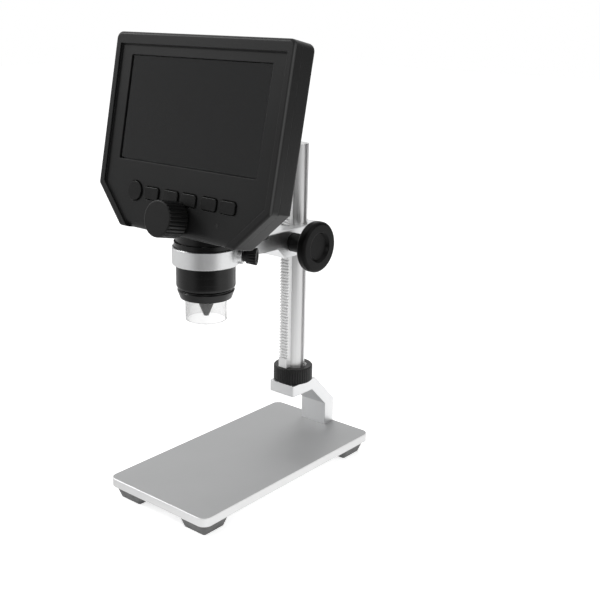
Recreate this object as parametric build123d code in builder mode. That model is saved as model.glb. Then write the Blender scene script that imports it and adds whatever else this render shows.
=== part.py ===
"""Digital microscope with a built-in screen, on a rack-and-pinion table stand.

Frame: +X to the user's right, +Y away from the user, +Z up, millimetres.
The origin lies on the table, under the centre of the base plate.
"""

import os
from math import atan, ceil, cos, degrees, floor, pi, radians, sin, sqrt, tan

from build123d import *

os.makedirs("parts", exist_ok=True)

# ---------------------------------------------------------------- driving dimensions

# Base plate and its feet
base_width = 76
base_length = 150
base_thickness = 5
base_corner_radius = 5
base_edge_chamfer = 0.3
foot_height = 7.6
foot_top_side = 22
foot_bottom_side = 15.6
foot_corner_radius = 1.2
foot_inset = 12.5            # from a plate edge to a foot's centre

# Cranked bracket that carries the column over the back of the plate
bracket_width = 19
bracket_rise = 35.4          # from the plate's top to the bracket's top
bracket_plate = 7
bracket_leg = 8.6
bracket_back_inset = 0.8     # from the plate's back edge
bracket_reach = 41.2         # front to back
bracket_nose = 11            # from the column's axis forward to the bracket's front
bracket_corner_cut = 19.5    # along each side of the sloping corner
bracket_web = 7.1
bracket_edge_chamfer = 0.6
bracket_screw_diameter = 4
bracket_screw_pitch = 10
bracket_screw_length = 16

# Column, its rack and the lock ring at its foot
column_diameter = 14
column_length = 147
groove_width = 2.5
groove_depth = 1.1
column_bolt_diameter = 5
column_bolt_length = 20
rack_width = 6
rack_proud = 3.5             # tooth tips stand this far off the column
rack_seat_depth = 2.4        # how deep the rack is let into the column
rack_plain_end = 5
rack_module = 0.6
socket_diameter = 20
socket_height = 7
lock_ring_diameter = 24
lock_ring_height = 9.7
lock_ring_lip = 2.4
lock_ring_lip_bore = 16.6
lock_ring_chamfer = 0.5
lock_ring_flutes = 48
lock_ring_flute_depth = 0.35

# Carriage, arm and holder ring
arm_width = 20.5
arm_thickness = 9.8
arm_top = 147.8
arm_edge_chamfer = 0.4
carriage_height = 16.3
carriage_reach = 28.4        # from the column's axis forward to the deep part of the carriage
carriage_back_wall = 5
carriage_corner_radius = 3
guide_key_engagement = 0.8
guide_key_embedment = 1.6
guide_key_setback = 0.5      # below the carriage's top and above its bottom
bush_diameter = 8
bush_flange_diameter = 11
bush_flange_thickness = 1
tension_screw_diameter = 4
tension_pad_thickness = 1.2
ring_diameter = 36.8
ring_tail_length = 35.5      # from the barrel's axis back to where the ring's tail meets the arm
ring_boss_diameter = 9
ring_boss_length = 2.2
ring_screw_diameter = 4
ring_screw_length = 22
ring_screw_recess = 0.8      # between the screw's head and the ring's bore

# Pinion shaft and the two height knobs
pinion_teeth = 16
pinion_width = 6
shaft_diameter = 5
shaft_drop = 7.8             # from the arm's top down to the shaft
shaft_grip = 2               # how far the shaft runs into each knob's disc
knob_diameter = 29.5
knob_rim = 6
knob_face_x = 30
knob_round = 1.9
knob_dish_diameter = 17.4
knob_dish_depth = 1.7
knob_dish_wall = 1.3         # the sloping wall of the dish, seen along the shaft
knob_dish_round = 0.6
knob_hub_diameter = 11

# Thumb screw that clamps the barrel in the ring
clamp_angle = 30             # from +X towards +Y, seen from above
clamp_head_diameter = 9.6
clamp_head_inner_diameter = 7.8
clamp_head_length = 5.7
clamp_head_round = 0.4
clamp_dish_diameter = 6.6
clamp_dish_depth = 0.6
clamp_neck_diameter = 6
clamp_neck_length = 1.8
clamp_shank_diameter = 4
clamp_flutes = 16
clamp_flute_side = 0.9

# Barrel, light ring and clear cap
barrel_reach = 77            # from the column's axis forward to the barrel's axis
barrel_diameter = 32.7
barrel_drop = 23.6           # from the arm's top down to the barrel's end
barrel_rise = 15.5           # from the housing's underside up to the barrel's top
barrel_lip_radius = 2.2
barrel_bore = 28
barrel_collar_diameter = 34.6
barrel_collar_height = 2.7
nose_top_diameter = 31.6
nose_bottom_diameter = 28.6
nose_height = 4.6
nose_edge_chamfer = 0.4
nose_groove_height = 0.6
nose_groove_diameter = 30
cap_diameter = 23
cap_wall = 1.1
cap_height = 12.7
cap_edge_radius = 0.4
cap_seat = 2
nose_spigot = 3
barrel_lug_x = 21
barrel_lug_width = 7
barrel_lug_depth = 8
barrel_lug_height = 6
barrel_screw_diameter = 2.5
snout_top_diameter = 13
snout_tip_diameter = 2.8
snout_tip_above_cap = 1.9
snout_wall = 0.9
snout_flange_diameter = 16
snout_flange_height = 1
light_board_diameter = 24
light_board_thickness = 1.2
light_count = 8
light_circle_diameter = 17.6
light_width = 2.4
light_thickness = 1.1

# Screen unit: a slab that leans back, with a deeper housing behind the barrel
lean = 12.07                 # degrees
screen_reach = 11.12         # from the barrel's axis forward to the centre of the window
screen_rise = 66.63          # from the housing's underside up to the centre of the window
head_width = 126
head_top = 39.9              # from the window's centre, up the slab
head_bottom = 63.9           # from the window's centre, down the slab
head_corner_cut = 20.8
head_depth = 16.5
head_front_depth = 6
head_wall = 2
head_top_corner = 4
head_cut_corner = 2.5
head_front_round = 1.6
head_bottom_round = 4
head_back_round = 2.5
rim_side = 4.3
rim_top = 6.4
rim_step = 1.4
window_inset = 13            # from the side of the screen unit
window_height = 56
window_corner = 0.6
glass_margin = 3
glass_thickness = 1
lcd_border = 2.75            # of the display beside the window
lcd_height = 67.2
lcd_thickness = 2.9
rim_run_out = 1              # how far the rim's recess runs past the lower edge
housing_width = 58
housing_reach = 20.5         # from the barrel's axis back to the housing's wall
housing_lift = 4.7           # from the arm's top up to the housing's underside
housing_shoulder = 61.5      # from the underside up to the sloping roof's back edge
housing_round = 3
housing_overlap = 1.5        # the housing runs this far into the slab
board_bottom = -33
board_top = 33
board_thickness = 1.6
board_gap = 0.8
board_side_gap = 0.6         # between the board's tabs and the shell's side walls
board_tab_width = 7.9        # at both sides, for screws and sockets
board_tab_bottom = -28
board_tab_top = 28
board_post_diameter = 4
board_post_inset = 6         # from the side of the screen unit
left_post_top = 11.4
left_post_bottom = -6.5
right_post_row = 24          # above and below the centre of the window
board_screw_diameter = 2
board_screw_head = 3.6
board_screw_head_height = 1.2
board_screw_length = 5
case_screw_inset = 7         # from the side of the screen unit
case_screw_drop = 7.9        # from its top
case_screw_lift = 7.1        # above the upper ends of its cut corners
case_screw_diameter = 2.5
case_screw_head = 4.4
case_screw_head_height = 1.5
case_boss_diameter = 6
battery_width = 46
battery_height = 28
battery_thickness = 6
battery_rise = 30            # from the housing's underside
battery_round = 1.5
battery_rib_x = 15
battery_rib_width = 3
door_width = 50
door_height = 37
door_rise = 23               # from the housing's underside
door_thickness = 1
door_lip = 1.5
door_foot = 6.5              # closed strip that takes the door's screw
door_screw_diameter = 2

# Keys, front focus knob and its rack
key_row = -43.9
key_pair_pitch = 27.5
key_half_pitch = 6.5
key_width = 10.6
key_height = 6.4
key_corner = 1.6
key_edge_radius = 0.4
key_proud = 1
power_key_diameter = 10.4
key_flange = 0.8             # margin of the flange behind the panel
key_flange_thickness = 0.9
key_travel = 0.6
key_stem_diameter = 3
key_stem_length = 0.7
key_switch_height = 1.6
key_switch_side = 5
key_board_thickness = 1.2
key_board_width = 91
key_board_bottom = -47.2
key_board_top = -38.6
key_post_x = 43
lamp_x = 28.2
lamp_row = -53.8
lamp_diameter = 1.8
lamp_flange = 3
lamp_flange_height = 0.6
focus_row = -55
focus_knob_diameter = 19.4
focus_knob_face = 13.3       # in front of the rim
focus_spindle_grip = 9       # inside the knob
focus_knob_round = 1
focus_knob_back_round = 0.5
focus_knob_flutes = 28
focus_knob_flute_depth = 0.55
focus_shaft_diameter = 4
focus_bush_diameter = 7
focus_bush_flange = 9
focus_bush_length = 3.6
focus_bush_lip = 0.6
focus_journal_diameter = 2.4
focus_module = 0.4
focus_teeth = 10
focus_pinion_start = 10.5
focus_pinion_length = 3.5
focus_rack_start = 11.3
focus_rack_width = 1.8
focus_rack_up = 4
focus_rack_down = 7.5
focus_rack_thickness = 2.4
focus_rack_teeth = 7
lens_tube_diameter = 18
lens_tube_bore = 13
lens_tube_drop = 13.5        # from the housing's underside down to the tube's end
lens_tube_length = 17.5
lens_flange_height = 3
lens_thickness = 4
lens_edge_radius = 0.5
lens_ledge = 1
sensor_board_width = 26
sensor_board_depth = 16
sensor_board_thickness = 1
sensor_side = 7
sensor_height = 1

# Light wheel and sockets on the left side of the screen unit
wheel_diameter = 13
wheel_thickness = 2.4
wheel_row = -20
wheel_inset = 0.3            # behind the side wall's face
wheel_axle_diameter = 3
wheel_control_side = 8.4
wheel_control_height = 1
scoop_radius = 12
scoop_depth = 1.2
wheel_flutes = 30
wheel_flute_depth = 0.3
socket_sheet = 0.4           # sheet metal of the two sockets
usb_row = 4
usb_width = 7.8
usb_height = 3.9
usb_length = 9
usb_corner = 0.8
card_row = 22
card_width = 14
card_height = 1.9
card_length = 15

# Clearances
running_gap = 0.05           # radial, shaft in bore
slide_gap = 0.15             # column in carriage, per side
seat_gap = 0.1               # pieces that are placed by hand
key_gap = 0.4                # round each key
gear_backlash = 0.2
lift_gap = 0.3               # between a turning piece and the face beside it
screw_tip_room = 1           # left in a blind hole past a screw's tip

# Fasteners, as multiples of the thread's diameter
cap_head_ratio = 0.86        # radius of a socket head
cap_socket_ratio = 0.45      # corner radius of its hexagon socket
flat_socket_ratio = 0.35     # the same in a countersunk head
grub_socket_ratio = 0.3      # the same in a headless screw
cross_width_ratio = 0.2      # slot width of a cross recess
cross_depth_ratio = 1 / 3
sink_angle = 82              # of all countersunk heads, degrees

# Gear teeth: heights as multiples of the module, flank slopes in degrees
tooth_tip = 0.9
tooth_root = 1.2
rack_flank = 20
tip_flank = 22
root_flank = 14

# ---------------------------------------------------------------- derived sizes

base_top = foot_height + base_thickness
bracket_top = base_top + bracket_rise
bracket_back = base_length / 2 - bracket_back_inset
bracket_front = bracket_back - bracket_reach
column_y = bracket_front + bracket_nose
column_radius = column_diameter / 2
column_top = bracket_top + column_length
rack_pitch = pi * rack_module
rack_tip_y = column_y - column_radius - rack_proud
rack_pitch_y = rack_tip_y + tooth_tip * rack_module
rack_back_y = column_y - column_radius + rack_seat_depth
lock_ring_top = bracket_top + lift_gap + lock_ring_height
rack_bottom = lock_ring_top + lift_gap
arm_bottom = arm_top - arm_thickness
carriage_bottom = arm_top - carriage_height
carriage_front = column_y - carriage_reach
carriage_back = column_y + column_radius + slide_gap + carriage_back_wall
shaft_z = arm_top - shaft_drop
pinion_radius = rack_module * pinion_teeth / 2
shaft_y = rack_pitch_y - pinion_radius
barrel_y = column_y - barrel_reach
arm_joint_y = barrel_y + ring_tail_length
barrel_bottom = arm_top - barrel_drop
barrel_radius = barrel_diameter / 2
ring_bore_radius = barrel_radius + seat_gap
clamp_direction = Vector(cos(radians(clamp_angle)), sin(radians(clamp_angle)), 0)
clamp_z = (arm_top + arm_bottom) / 2
boss_reach = ring_diameter / 2 + ring_boss_length
housing_bottom = arm_top + housing_lift
housing_back = barrel_y + housing_reach
barrel_top = housing_bottom + barrel_rise
screen_y = barrel_y - screen_reach
screen_z = housing_bottom + screen_rise
window_width = head_width - 2 * window_inset
lcd_width = window_width + 2 * lcd_border
panel_depth = rim_step
panel_back = panel_depth + head_wall
glass_back = panel_back + glass_thickness
lcd_back = glass_back + lcd_thickness
board_front = lcd_back + board_gap
board_back = board_front + board_thickness
focus_radius = focus_module * focus_teeth / 2
up_axis = Axis((0, 0, 0), (0, sin(radians(lean)), cos(radians(lean))))
out_axis = Axis((0, 0, 0), (0, -cos(radians(lean)), sin(radians(lean))))

screen_plane = Plane(
    origin=(0, screen_y, screen_z),
    x_dir=(1, 0, 0),
    z_dir=(0, -cos(radians(lean)), sin(radians(lean))),
)


def slab_plane(depth):
    """Plane parallel to the screen, this far behind the rim's front."""
    return screen_plane.offset(-depth)


def on_slab(across, up, depth):
    """A point of the slab, given across, up and behind the rim's front."""
    return screen_plane.from_local_coords(Vector(across, up, -depth))


def back_plane(height):
    """Plane on the housing's back wall, at this height."""
    return Plane(origin=(0, housing_back, height), x_dir=(1, 0, 0), z_dir=(0, 1, 0))


def keep(part, name):
    """Label a finished piece and write it."""
    part.part.label = name
    export_step(part.part, "parts/" + name + ".step")


def gear_points(module, teeth, backlash):
    """Corner points of a spur gear; one tooth points along the local x axis."""
    pitch_radius = module * teeth / 2
    half_tooth = (pi * module / 2 - backlash) / 2 / pitch_radius
    tip = pitch_radius + tooth_tip * module
    root = pitch_radius - tooth_root * module
    tip_half = half_tooth - tan(radians(tip_flank)) * tooth_tip * module / pitch_radius
    root_half = half_tooth + tan(radians(root_flank)) * tooth_root * module / pitch_radius
    points = []
    for tooth in range(teeth):
        middle = 2 * pi * tooth / teeth
        for radius, angle in (
            (root, -root_half),
            (pitch_radius, -half_tooth),
            (tip, -tip_half),
            (tip, tip_half),
            (pitch_radius, half_tooth),
            (root, root_half),
        ):
            points.append((radius * cos(middle + angle), radius * sin(middle + angle)))
    return points


def rack_points(module, first, count, backlash):
    """Teeth that point along local -x; tooth gaps lie at whole pitches from y = 0."""
    pitch = pi * module
    half_tooth = (pitch / 2 - backlash) / 2
    rise = tooth_tip * module
    sink = tooth_root * module
    slope = tan(radians(rack_flank))
    points = []
    for tooth in range(first, first + count):
        middle = (tooth + 0.5) * pitch
        points += [
            (sink, middle - half_tooth - sink * slope),
            (-rise, middle - half_tooth + rise * slope),
            (-rise, middle + half_tooth - rise * slope),
            (sink, middle + half_tooth + sink * slope),
        ]
    return points


def slab_outline(inset):
    """Outline of the screen unit, moved inwards all round."""
    side = head_width / 2 - inset
    low = head_bottom - inset
    cut = head_width / 2 + head_bottom - head_corner_cut - inset * sqrt(2)
    Polygon(
        (-side, head_top - inset),
        (-side, side - cut),
        (low - cut, -low),
        (cut - low, -low),
        (side, side - cut),
        (side, head_top - inset),
        align=None,
    )


def housing_outline(inset):
    """Side view of the housing behind the screen unit, moved inwards all round."""
    depth = head_depth - inset
    seam = on_slab(0, 0, depth)
    diagonal = housing_back + housing_bottom + housing_shoulder - inset * sqrt(2)
    rise = (diagonal - seam.Y - seam.Z) / (sin(radians(lean)) + cos(radians(lean)))
    spots = [
        on_slab(0, rise, depth),
        on_slab(0, rise, depth - housing_overlap),
        on_slab(0, inset - head_bottom, depth - housing_overlap),
    ]
    low_corner = on_slab(0, inset - head_bottom, depth)
    back = housing_back - inset
    Polygon(
        *[(spot.Y, spot.Z) for spot in spots],
        (low_corner.Y, housing_bottom + inset),
        (back, housing_bottom + inset),
        (back, diagonal - back),
        align=None,
    )


# ---------------------------------------------------------------- base and feet

foot_x = base_width / 2 - foot_inset
foot_y = base_length / 2 - foot_inset
leg_y = bracket_back - bracket_leg / 2
sink_slope = tan(radians(sink_angle / 2))

with BuildPart() as base_plate:
    with BuildSketch(Plane.XY.offset(foot_height)):
        RectangleRounded(base_width, base_length, base_corner_radius)
    extrude(amount=base_thickness)
    chamfer(base_plate.edges().group_by(Axis.Z)[-1], base_edge_chamfer)
    with Locations(Plane(origin=(0, leg_y, foot_height), z_dir=(0, 0, -1))):
        with GridLocations(bracket_screw_pitch, 1, 2, 1):
            CounterSinkHole(
                bracket_screw_diameter / 2 + seat_gap,
                bracket_screw_diameter,
                counter_sink_angle=sink_angle,
            )
keep(base_plate, "base_plate")

with BuildPart() as rubber_feet:
    with BuildSketch(Plane.XY):
        with GridLocations(2 * foot_x, 2 * foot_y, 2, 2):
            RectangleRounded(foot_bottom_side, foot_bottom_side, foot_corner_radius)
    extrude(
        amount=foot_height,
        taper=-degrees(atan((foot_top_side - foot_bottom_side) / 2 / foot_height)),
    )
keep(rubber_feet, "rubber_feet")

# ---------------------------------------------------------------- cranked bracket

crank_outer = bracket_back - bracket_corner_cut + bracket_top
crank_inner = crank_outer - bracket_web * sqrt(2)
plate_underside = bracket_top - bracket_plate
leg_front = bracket_back - bracket_leg

with BuildPart() as stand_bracket:
    with BuildSketch(Plane.YZ.offset(-bracket_width / 2)):
        with BuildLine():
            Polyline(
                (bracket_front, bracket_top),
                (bracket_back - bracket_corner_cut, bracket_top),
                (bracket_back, bracket_top - bracket_corner_cut),
                (bracket_back, base_top),
                (leg_front, base_top),
                (leg_front, crank_inner - leg_front),
                (crank_inner - plate_underside, plate_underside),
                (bracket_front, plate_underside),
                close=True,
            )
        make_face()
    extrude(amount=bracket_width)
    chamfer(stand_bracket.edges().filter_by(Axis.Z).group_by(Axis.Y)[0], bracket_edge_chamfer)
    with Locations(Plane(origin=(0, column_y, plate_underside), z_dir=(0, 0, -1))):
        CounterSinkHole(
            column_bolt_diameter / 2 + seat_gap,
            column_bolt_diameter,
            bracket_plate,
            counter_sink_angle=sink_angle,
        )
    with Locations(Plane(origin=(0, leg_y, base_top), z_dir=(0, 0, -1))):
        with GridLocations(bracket_screw_pitch, 1, 2, 1):
            Hole(
                bracket_screw_diameter / 2 + running_gap,
                depth=bracket_screw_length - base_thickness + screw_tip_room,
            )
keep(stand_bracket, "stand_bracket")

with BuildPart() as bracket_screws:
    with Locations((0, leg_y, foot_height)):
        with GridLocations(bracket_screw_pitch, 1, 2, 1):
            Cone(
                bracket_screw_diameter - seat_gap,
                bracket_screw_diameter / 2,
                (bracket_screw_diameter / 2 - seat_gap) / sink_slope,
                align=(Align.CENTER, Align.CENTER, Align.MIN),
            )
            Cylinder(
                bracket_screw_diameter / 2,
                bracket_screw_length,
                align=(Align.CENTER, Align.CENTER, Align.MIN),
            )
    with BuildSketch(Plane.XY.offset(foot_height)):
        with Locations((0, leg_y)):
            with GridLocations(bracket_screw_pitch, 1, 2, 1):
                RegularPolygon(bracket_screw_diameter * flat_socket_ratio, 6)
    extrude(amount=bracket_screw_diameter / 2, mode=Mode.SUBTRACT)
keep(bracket_screws, "bracket_screws")

with BuildPart() as column_bolt:
    with Locations((0, column_y, plate_underside)):
        Cone(
            column_bolt_diameter - seat_gap,
            column_bolt_diameter / 2,
            (column_bolt_diameter / 2 - seat_gap) / sink_slope,
            align=(Align.CENTER, Align.CENTER, Align.MIN),
        )
        Cylinder(
            column_bolt_diameter / 2,
            column_bolt_length,
            align=(Align.CENTER, Align.CENTER, Align.MIN),
        )
    with BuildSketch(Plane.XY.offset(plate_underside)):
        with Locations((0, column_y)):
            RegularPolygon(column_bolt_diameter * flat_socket_ratio, 6)
    extrude(amount=column_bolt_diameter / 2, mode=Mode.SUBTRACT)
keep(column_bolt, "column_bolt")

# ---------------------------------------------------------------- column and rack

with BuildPart() as column:
    with BuildSketch(Plane.XY.offset(bracket_top)):
        with Locations((0, column_y)):
            Circle(column_radius)
        with Locations((-column_radius, column_y), (column_radius, column_y)):
            Rectangle(2 * groove_depth, groove_width, mode=Mode.SUBTRACT)
    extrude(amount=column_length)
    with Locations(Plane(origin=(0, column_y, bracket_top), z_dir=(0, 0, -1))):
        Hole(
            column_bolt_diameter / 2 + running_gap,
            depth=column_bolt_length - bracket_plate + screw_tip_room,
        )
    with BuildSketch(Plane.XY.offset(rack_bottom)):
        with Locations((0, column_y - column_radius)):
            Rectangle(rack_width, 2 * rack_seat_depth)
    extrude(amount=column_top - rack_bottom, mode=Mode.SUBTRACT)
keep(column, "column")

first_tooth = ceil((rack_bottom + rack_plain_end - shaft_z) / rack_pitch)
tooth_count = floor((column_top - shaft_z) / rack_pitch) - first_tooth
rack_teeth = [
    (rack_pitch_y + across, shaft_z + along)
    for across, along in rack_points(rack_module, first_tooth, tooth_count, gear_backlash)
]
rack_root_y = rack_teeth[0][0]
plain_top = rack_teeth[0][1] - rack_pitch / 4

with BuildPart() as gear_rack:
    with BuildSketch(Plane.YZ.offset(-rack_width / 2)):
        with BuildLine():
            Polyline(
                (rack_back_y, rack_bottom),
                (rack_tip_y, rack_bottom),
                (rack_tip_y, plain_top),
                (rack_root_y, plain_top),
                *rack_teeth,
                (rack_root_y, column_top),
                (rack_back_y, column_top),
                close=True,
            )
        make_face()
    extrude(amount=rack_width)
keep(gear_rack, "gear_rack")

# ---------------------------------------------------------------- foot of the column

with BuildPart() as threaded_socket:
    with BuildSketch(Plane.XY.offset(bracket_top)):
        with Locations((0, column_y)):
            Circle(socket_diameter / 2)
            Circle(column_radius + running_gap, mode=Mode.SUBTRACT)
    extrude(amount=socket_height)
keep(threaded_socket, "threaded_socket")

lock_ring_bottom = bracket_top + lift_gap

with BuildPart() as lock_ring_nut:
    with BuildSketch(Plane.XY.offset(lock_ring_bottom)):
        with Locations((0, column_y)):
            Circle(lock_ring_diameter / 2)
            Circle(socket_diameter / 2 + running_gap, mode=Mode.SUBTRACT)
    extrude(amount=lock_ring_height - lock_ring_lip)
    with BuildSketch(Plane.XY.offset(lock_ring_top - lock_ring_lip)):
        with Locations((0, column_y)):
            Circle(lock_ring_diameter / 2)
            Circle(lock_ring_lip_bore / 2, mode=Mode.SUBTRACT)
    extrude(amount=lock_ring_lip)
    rims = lock_ring_nut.edges().filter_by(GeomType.CIRCLE)
    chamfer(
        rims.filter_by(lambda rim: rim.radius > lock_ring_diameter / 2 - running_gap),
        lock_ring_chamfer,
    )
    with BuildSketch(Plane.XY.offset(lock_ring_bottom)):
        with Locations((0, column_y)):
            with PolarLocations(lock_ring_diameter / 2, lock_ring_flutes):
                RegularPolygon(lock_ring_flute_depth, 4)
    extrude(amount=lock_ring_height, mode=Mode.SUBTRACT)
keep(lock_ring_nut, "lock_ring_nut")

# ---------------------------------------------------------------- holder ring and arm

ring_screw_seat = barrel_y + ring_bore_radius + ring_screw_diameter + ring_screw_recess
clamp_plane = Plane(origin=(0, barrel_y, clamp_z), x_dir=(0, 0, 1), z_dir=clamp_direction)

with BuildPart() as holder_ring:
    with BuildSketch(Plane.XY.offset(arm_bottom)):
        with Locations((0, barrel_y)):
            Circle(ring_diameter / 2)
        with Locations((0, (barrel_y + arm_joint_y) / 2)):
            Rectangle(arm_width, arm_joint_y - barrel_y)
    extrude(amount=arm_thickness)
    chamfer(holder_ring.edges().group_by(Axis.Z)[-1], arm_edge_chamfer)
    chamfer(holder_ring.edges().group_by(Axis.Z)[0], arm_edge_chamfer)
    with BuildSketch(clamp_plane):
        Circle(ring_boss_diameter / 2)
    extrude(amount=boss_reach)
    with BuildSketch(Plane.XY.offset(arm_bottom)):
        with Locations((0, barrel_y)):
            Circle(ring_bore_radius)
    extrude(amount=arm_thickness, mode=Mode.SUBTRACT)
    with BuildSketch(clamp_plane):
        Circle(clamp_shank_diameter / 2 + running_gap)
    extrude(amount=boss_reach, mode=Mode.SUBTRACT)
    with Locations(Plane(origin=(0, ring_screw_seat, clamp_z), z_dir=(0, -1, 0))):
        Cylinder(
            ring_screw_diameter * cap_head_ratio + seat_gap,
            2 * ring_screw_diameter,
            align=(Align.CENTER, Align.CENTER, Align.MIN),
            mode=Mode.SUBTRACT,
        )
        Cylinder(
            ring_screw_diameter / 2 + seat_gap,
            ring_screw_length,
            align=(Align.CENTER, Align.CENTER, Align.MAX),
            mode=Mode.SUBTRACT,
        )
keep(holder_ring, "holder_ring")

with BuildPart() as ring_screw:
    with Locations(Plane(origin=(0, ring_screw_seat, clamp_z), z_dir=(0, -1, 0))):
        Cylinder(
            ring_screw_diameter * cap_head_ratio,
            ring_screw_diameter,
            align=(Align.CENTER, Align.CENTER, Align.MIN),
        )
        Cylinder(
            ring_screw_diameter / 2,
            ring_screw_length,
            align=(Align.CENTER, Align.CENTER, Align.MAX),
        )
    with BuildSketch(
        Plane(origin=(0, ring_screw_seat - ring_screw_diameter, clamp_z), z_dir=(0, 1, 0))
    ):
        RegularPolygon(ring_screw_diameter * cap_socket_ratio, 6)
    extrude(amount=ring_screw_diameter / 2, mode=Mode.SUBTRACT)
keep(ring_screw, "ring_screw")

bush_inner_x = pinion_width / 2 + lift_gap
shaft_plane = Plane(origin=(0, shaft_y, shaft_z), x_dir=(0, 1, 0), z_dir=(1, 0, 0))
carriage_bevel = arm_bottom - carriage_bottom
bore_radius = column_radius + slide_gap
key_slot_reach = bore_radius + guide_key_embedment

with BuildPart() as carriage_arm:
    with BuildSketch(Plane.YZ.offset(-arm_width / 2)):
        with BuildLine():
            Polyline(
                (arm_joint_y, arm_top),
                (carriage_back, arm_top),
                (carriage_back, carriage_bottom),
                (carriage_front + carriage_bevel, carriage_bottom),
                (carriage_front, arm_bottom),
                (arm_joint_y, arm_bottom),
                close=True,
            )
        make_face()
    extrude(amount=arm_width)
    fillet(
        carriage_arm.edges().filter_by(Axis.Z).group_by(Axis.Y)[-1],
        carriage_corner_radius,
    )
    chamfer(carriage_arm.edges().group_by(Axis.Z)[-1], arm_edge_chamfer)
    with BuildSketch(Plane.XY.offset(carriage_bottom)):
        with Locations((0, column_y)):
            Circle(bore_radius)
            Rectangle(2 * key_slot_reach, groove_width)
        with Locations((0, (rack_tip_y + column_y - lift_gap) / 2)):
            Rectangle(rack_width + 2 * lift_gap, column_y - rack_tip_y + lift_gap)
    extrude(amount=carriage_height, mode=Mode.SUBTRACT)
    with BuildSketch(shaft_plane.offset(-bush_inner_x)):
        Circle(pinion_radius + rack_module + lift_gap)
    extrude(amount=2 * bush_inner_x, mode=Mode.SUBTRACT)
    with BuildSketch(shaft_plane.offset(-arm_width / 2)):
        Circle(bush_diameter / 2)
    extrude(amount=arm_width, mode=Mode.SUBTRACT)
    with Locations(Plane(origin=(0, carriage_back, shaft_z), z_dir=(0, 1, 0))):
        Hole(tension_screw_diameter / 2 + running_gap, depth=carriage_back_wall + slide_gap)
    with Locations(Plane(origin=(0, arm_joint_y, clamp_z), z_dir=(0, -1, 0))):
        Hole(
            ring_screw_diameter / 2 + running_gap,
            depth=ring_screw_seat + ring_screw_length - arm_joint_y + screw_tip_room,
        )
keep(carriage_arm, "carriage_arm")

with BuildPart() as guide_keys:
    for side in (-1, 1):
        inner = column_radius - guide_key_engagement
        middle = side * (inner + key_slot_reach) / 2
        with Locations((middle, column_y, arm_top - guide_key_setback)):
            Box(
                key_slot_reach - inner,
                groove_width - 2 * running_gap,
                carriage_height - 2 * guide_key_setback,
                align=(Align.CENTER, Align.CENTER, Align.MAX),
            )
keep(guide_keys, "guide_keys")

with BuildPart() as pinion_bushes:
    for side in (-1, 1):
        with BuildSketch(Plane(origin=(side * bush_inner_x, shaft_y, shaft_z), z_dir=(side, 0, 0))):
            Circle(bush_diameter / 2)
        extrude(amount=arm_width / 2 - bush_inner_x + bush_flange_thickness)
        with BuildSketch(Plane(origin=(side * arm_width / 2, shaft_y, shaft_z), z_dir=(side, 0, 0))):
            Circle(bush_flange_diameter / 2)
        extrude(amount=bush_flange_thickness)
    with BuildSketch(shaft_plane.offset(-arm_width)):
        Circle(shaft_diameter / 2 + running_gap)
    extrude(amount=2 * arm_width, mode=Mode.SUBTRACT)
keep(pinion_bushes, "pinion_bushes")

pad_face = column_y + column_radius + running_gap
tension_screw_start = pad_face + tension_pad_thickness

with BuildPart() as tension_pad:
    with BuildSketch(Plane(origin=(0, pad_face, shaft_z), z_dir=(0, 1, 0))):
        Circle(tension_screw_diameter / 2)
    extrude(amount=tension_pad_thickness)
keep(tension_pad, "tension_pad")

with BuildPart() as tension_screw:
    with BuildSketch(Plane(origin=(0, tension_screw_start, shaft_z), z_dir=(0, 1, 0))):
        Circle(tension_screw_diameter / 2)
    extrude(amount=carriage_back - tension_screw_start)
    with BuildSketch(Plane(origin=(0, carriage_back, shaft_z), z_dir=(0, -1, 0))):
        RegularPolygon(tension_screw_diameter * grub_socket_ratio, 6)
    extrude(amount=tension_screw_diameter / 2, mode=Mode.SUBTRACT)
keep(tension_screw, "tension_screw")

# ---------------------------------------------------------------- pinion shaft and knobs

knob_inner_x = arm_width / 2 + bush_flange_thickness + lift_gap
knob_length = knob_face_x - knob_inner_x
shaft_half = knob_face_x - knob_rim + shaft_grip
disc_start = knob_length - knob_rim
dish_floor = knob_length - knob_dish_depth

with BuildPart() as pinion:
    with BuildSketch(shaft_plane.offset(-pinion_width / 2)):
        Polygon(*gear_points(rack_module, pinion_teeth, gear_backlash), align=None)
        Circle(shaft_diameter / 2, mode=Mode.SUBTRACT)
    extrude(amount=pinion_width)
keep(pinion, "pinion")

with BuildPart() as pinion_shaft:
    with BuildSketch(shaft_plane.offset(-shaft_half)):
        Circle(shaft_diameter / 2)
    extrude(amount=2 * shaft_half)
keep(pinion_shaft, "pinion_shaft")

for side, knob_name in ((-1, "left_height_knob"), (1, "right_height_knob")):
    knob_section = Plane(
        origin=(side * knob_inner_x, shaft_y, shaft_z), x_dir=(0, 0, 1), z_dir=(0, side, 0)
    )
    with BuildPart() as height_knob:
        with BuildSketch(knob_section) as knob_profile:
            Polygon(
                (shaft_diameter / 2, 0),
                (knob_hub_diameter / 2, 0),
                (knob_hub_diameter / 2, disc_start),
                (knob_diameter / 2, disc_start),
                (knob_diameter / 2, knob_length),
                (knob_dish_diameter / 2, knob_length),
                (knob_dish_diameter / 2 - knob_dish_wall, dish_floor),
                (0, dish_floor),
                (0, shaft_half - knob_inner_x),
                (shaft_diameter / 2, shaft_half - knob_inner_x),
                align=None,
            )
            fillet(knob_profile.vertices().group_by(Axis.X)[-1], knob_round)
            dish_rim = knob_profile.vertices().group_by(Axis.Y)[-1].sort_by(Axis.X)[0]
            fillet(dish_rim, knob_dish_round)
        revolve(axis=Axis((0, shaft_y, shaft_z), (1, 0, 0)))
    keep(height_knob, knob_name)

# ---------------------------------------------------------------- thumb screw

neck_start = boss_reach + lift_gap
head_start = neck_start + clamp_neck_length
tip_start = barrel_radius + seat_gap

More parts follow.
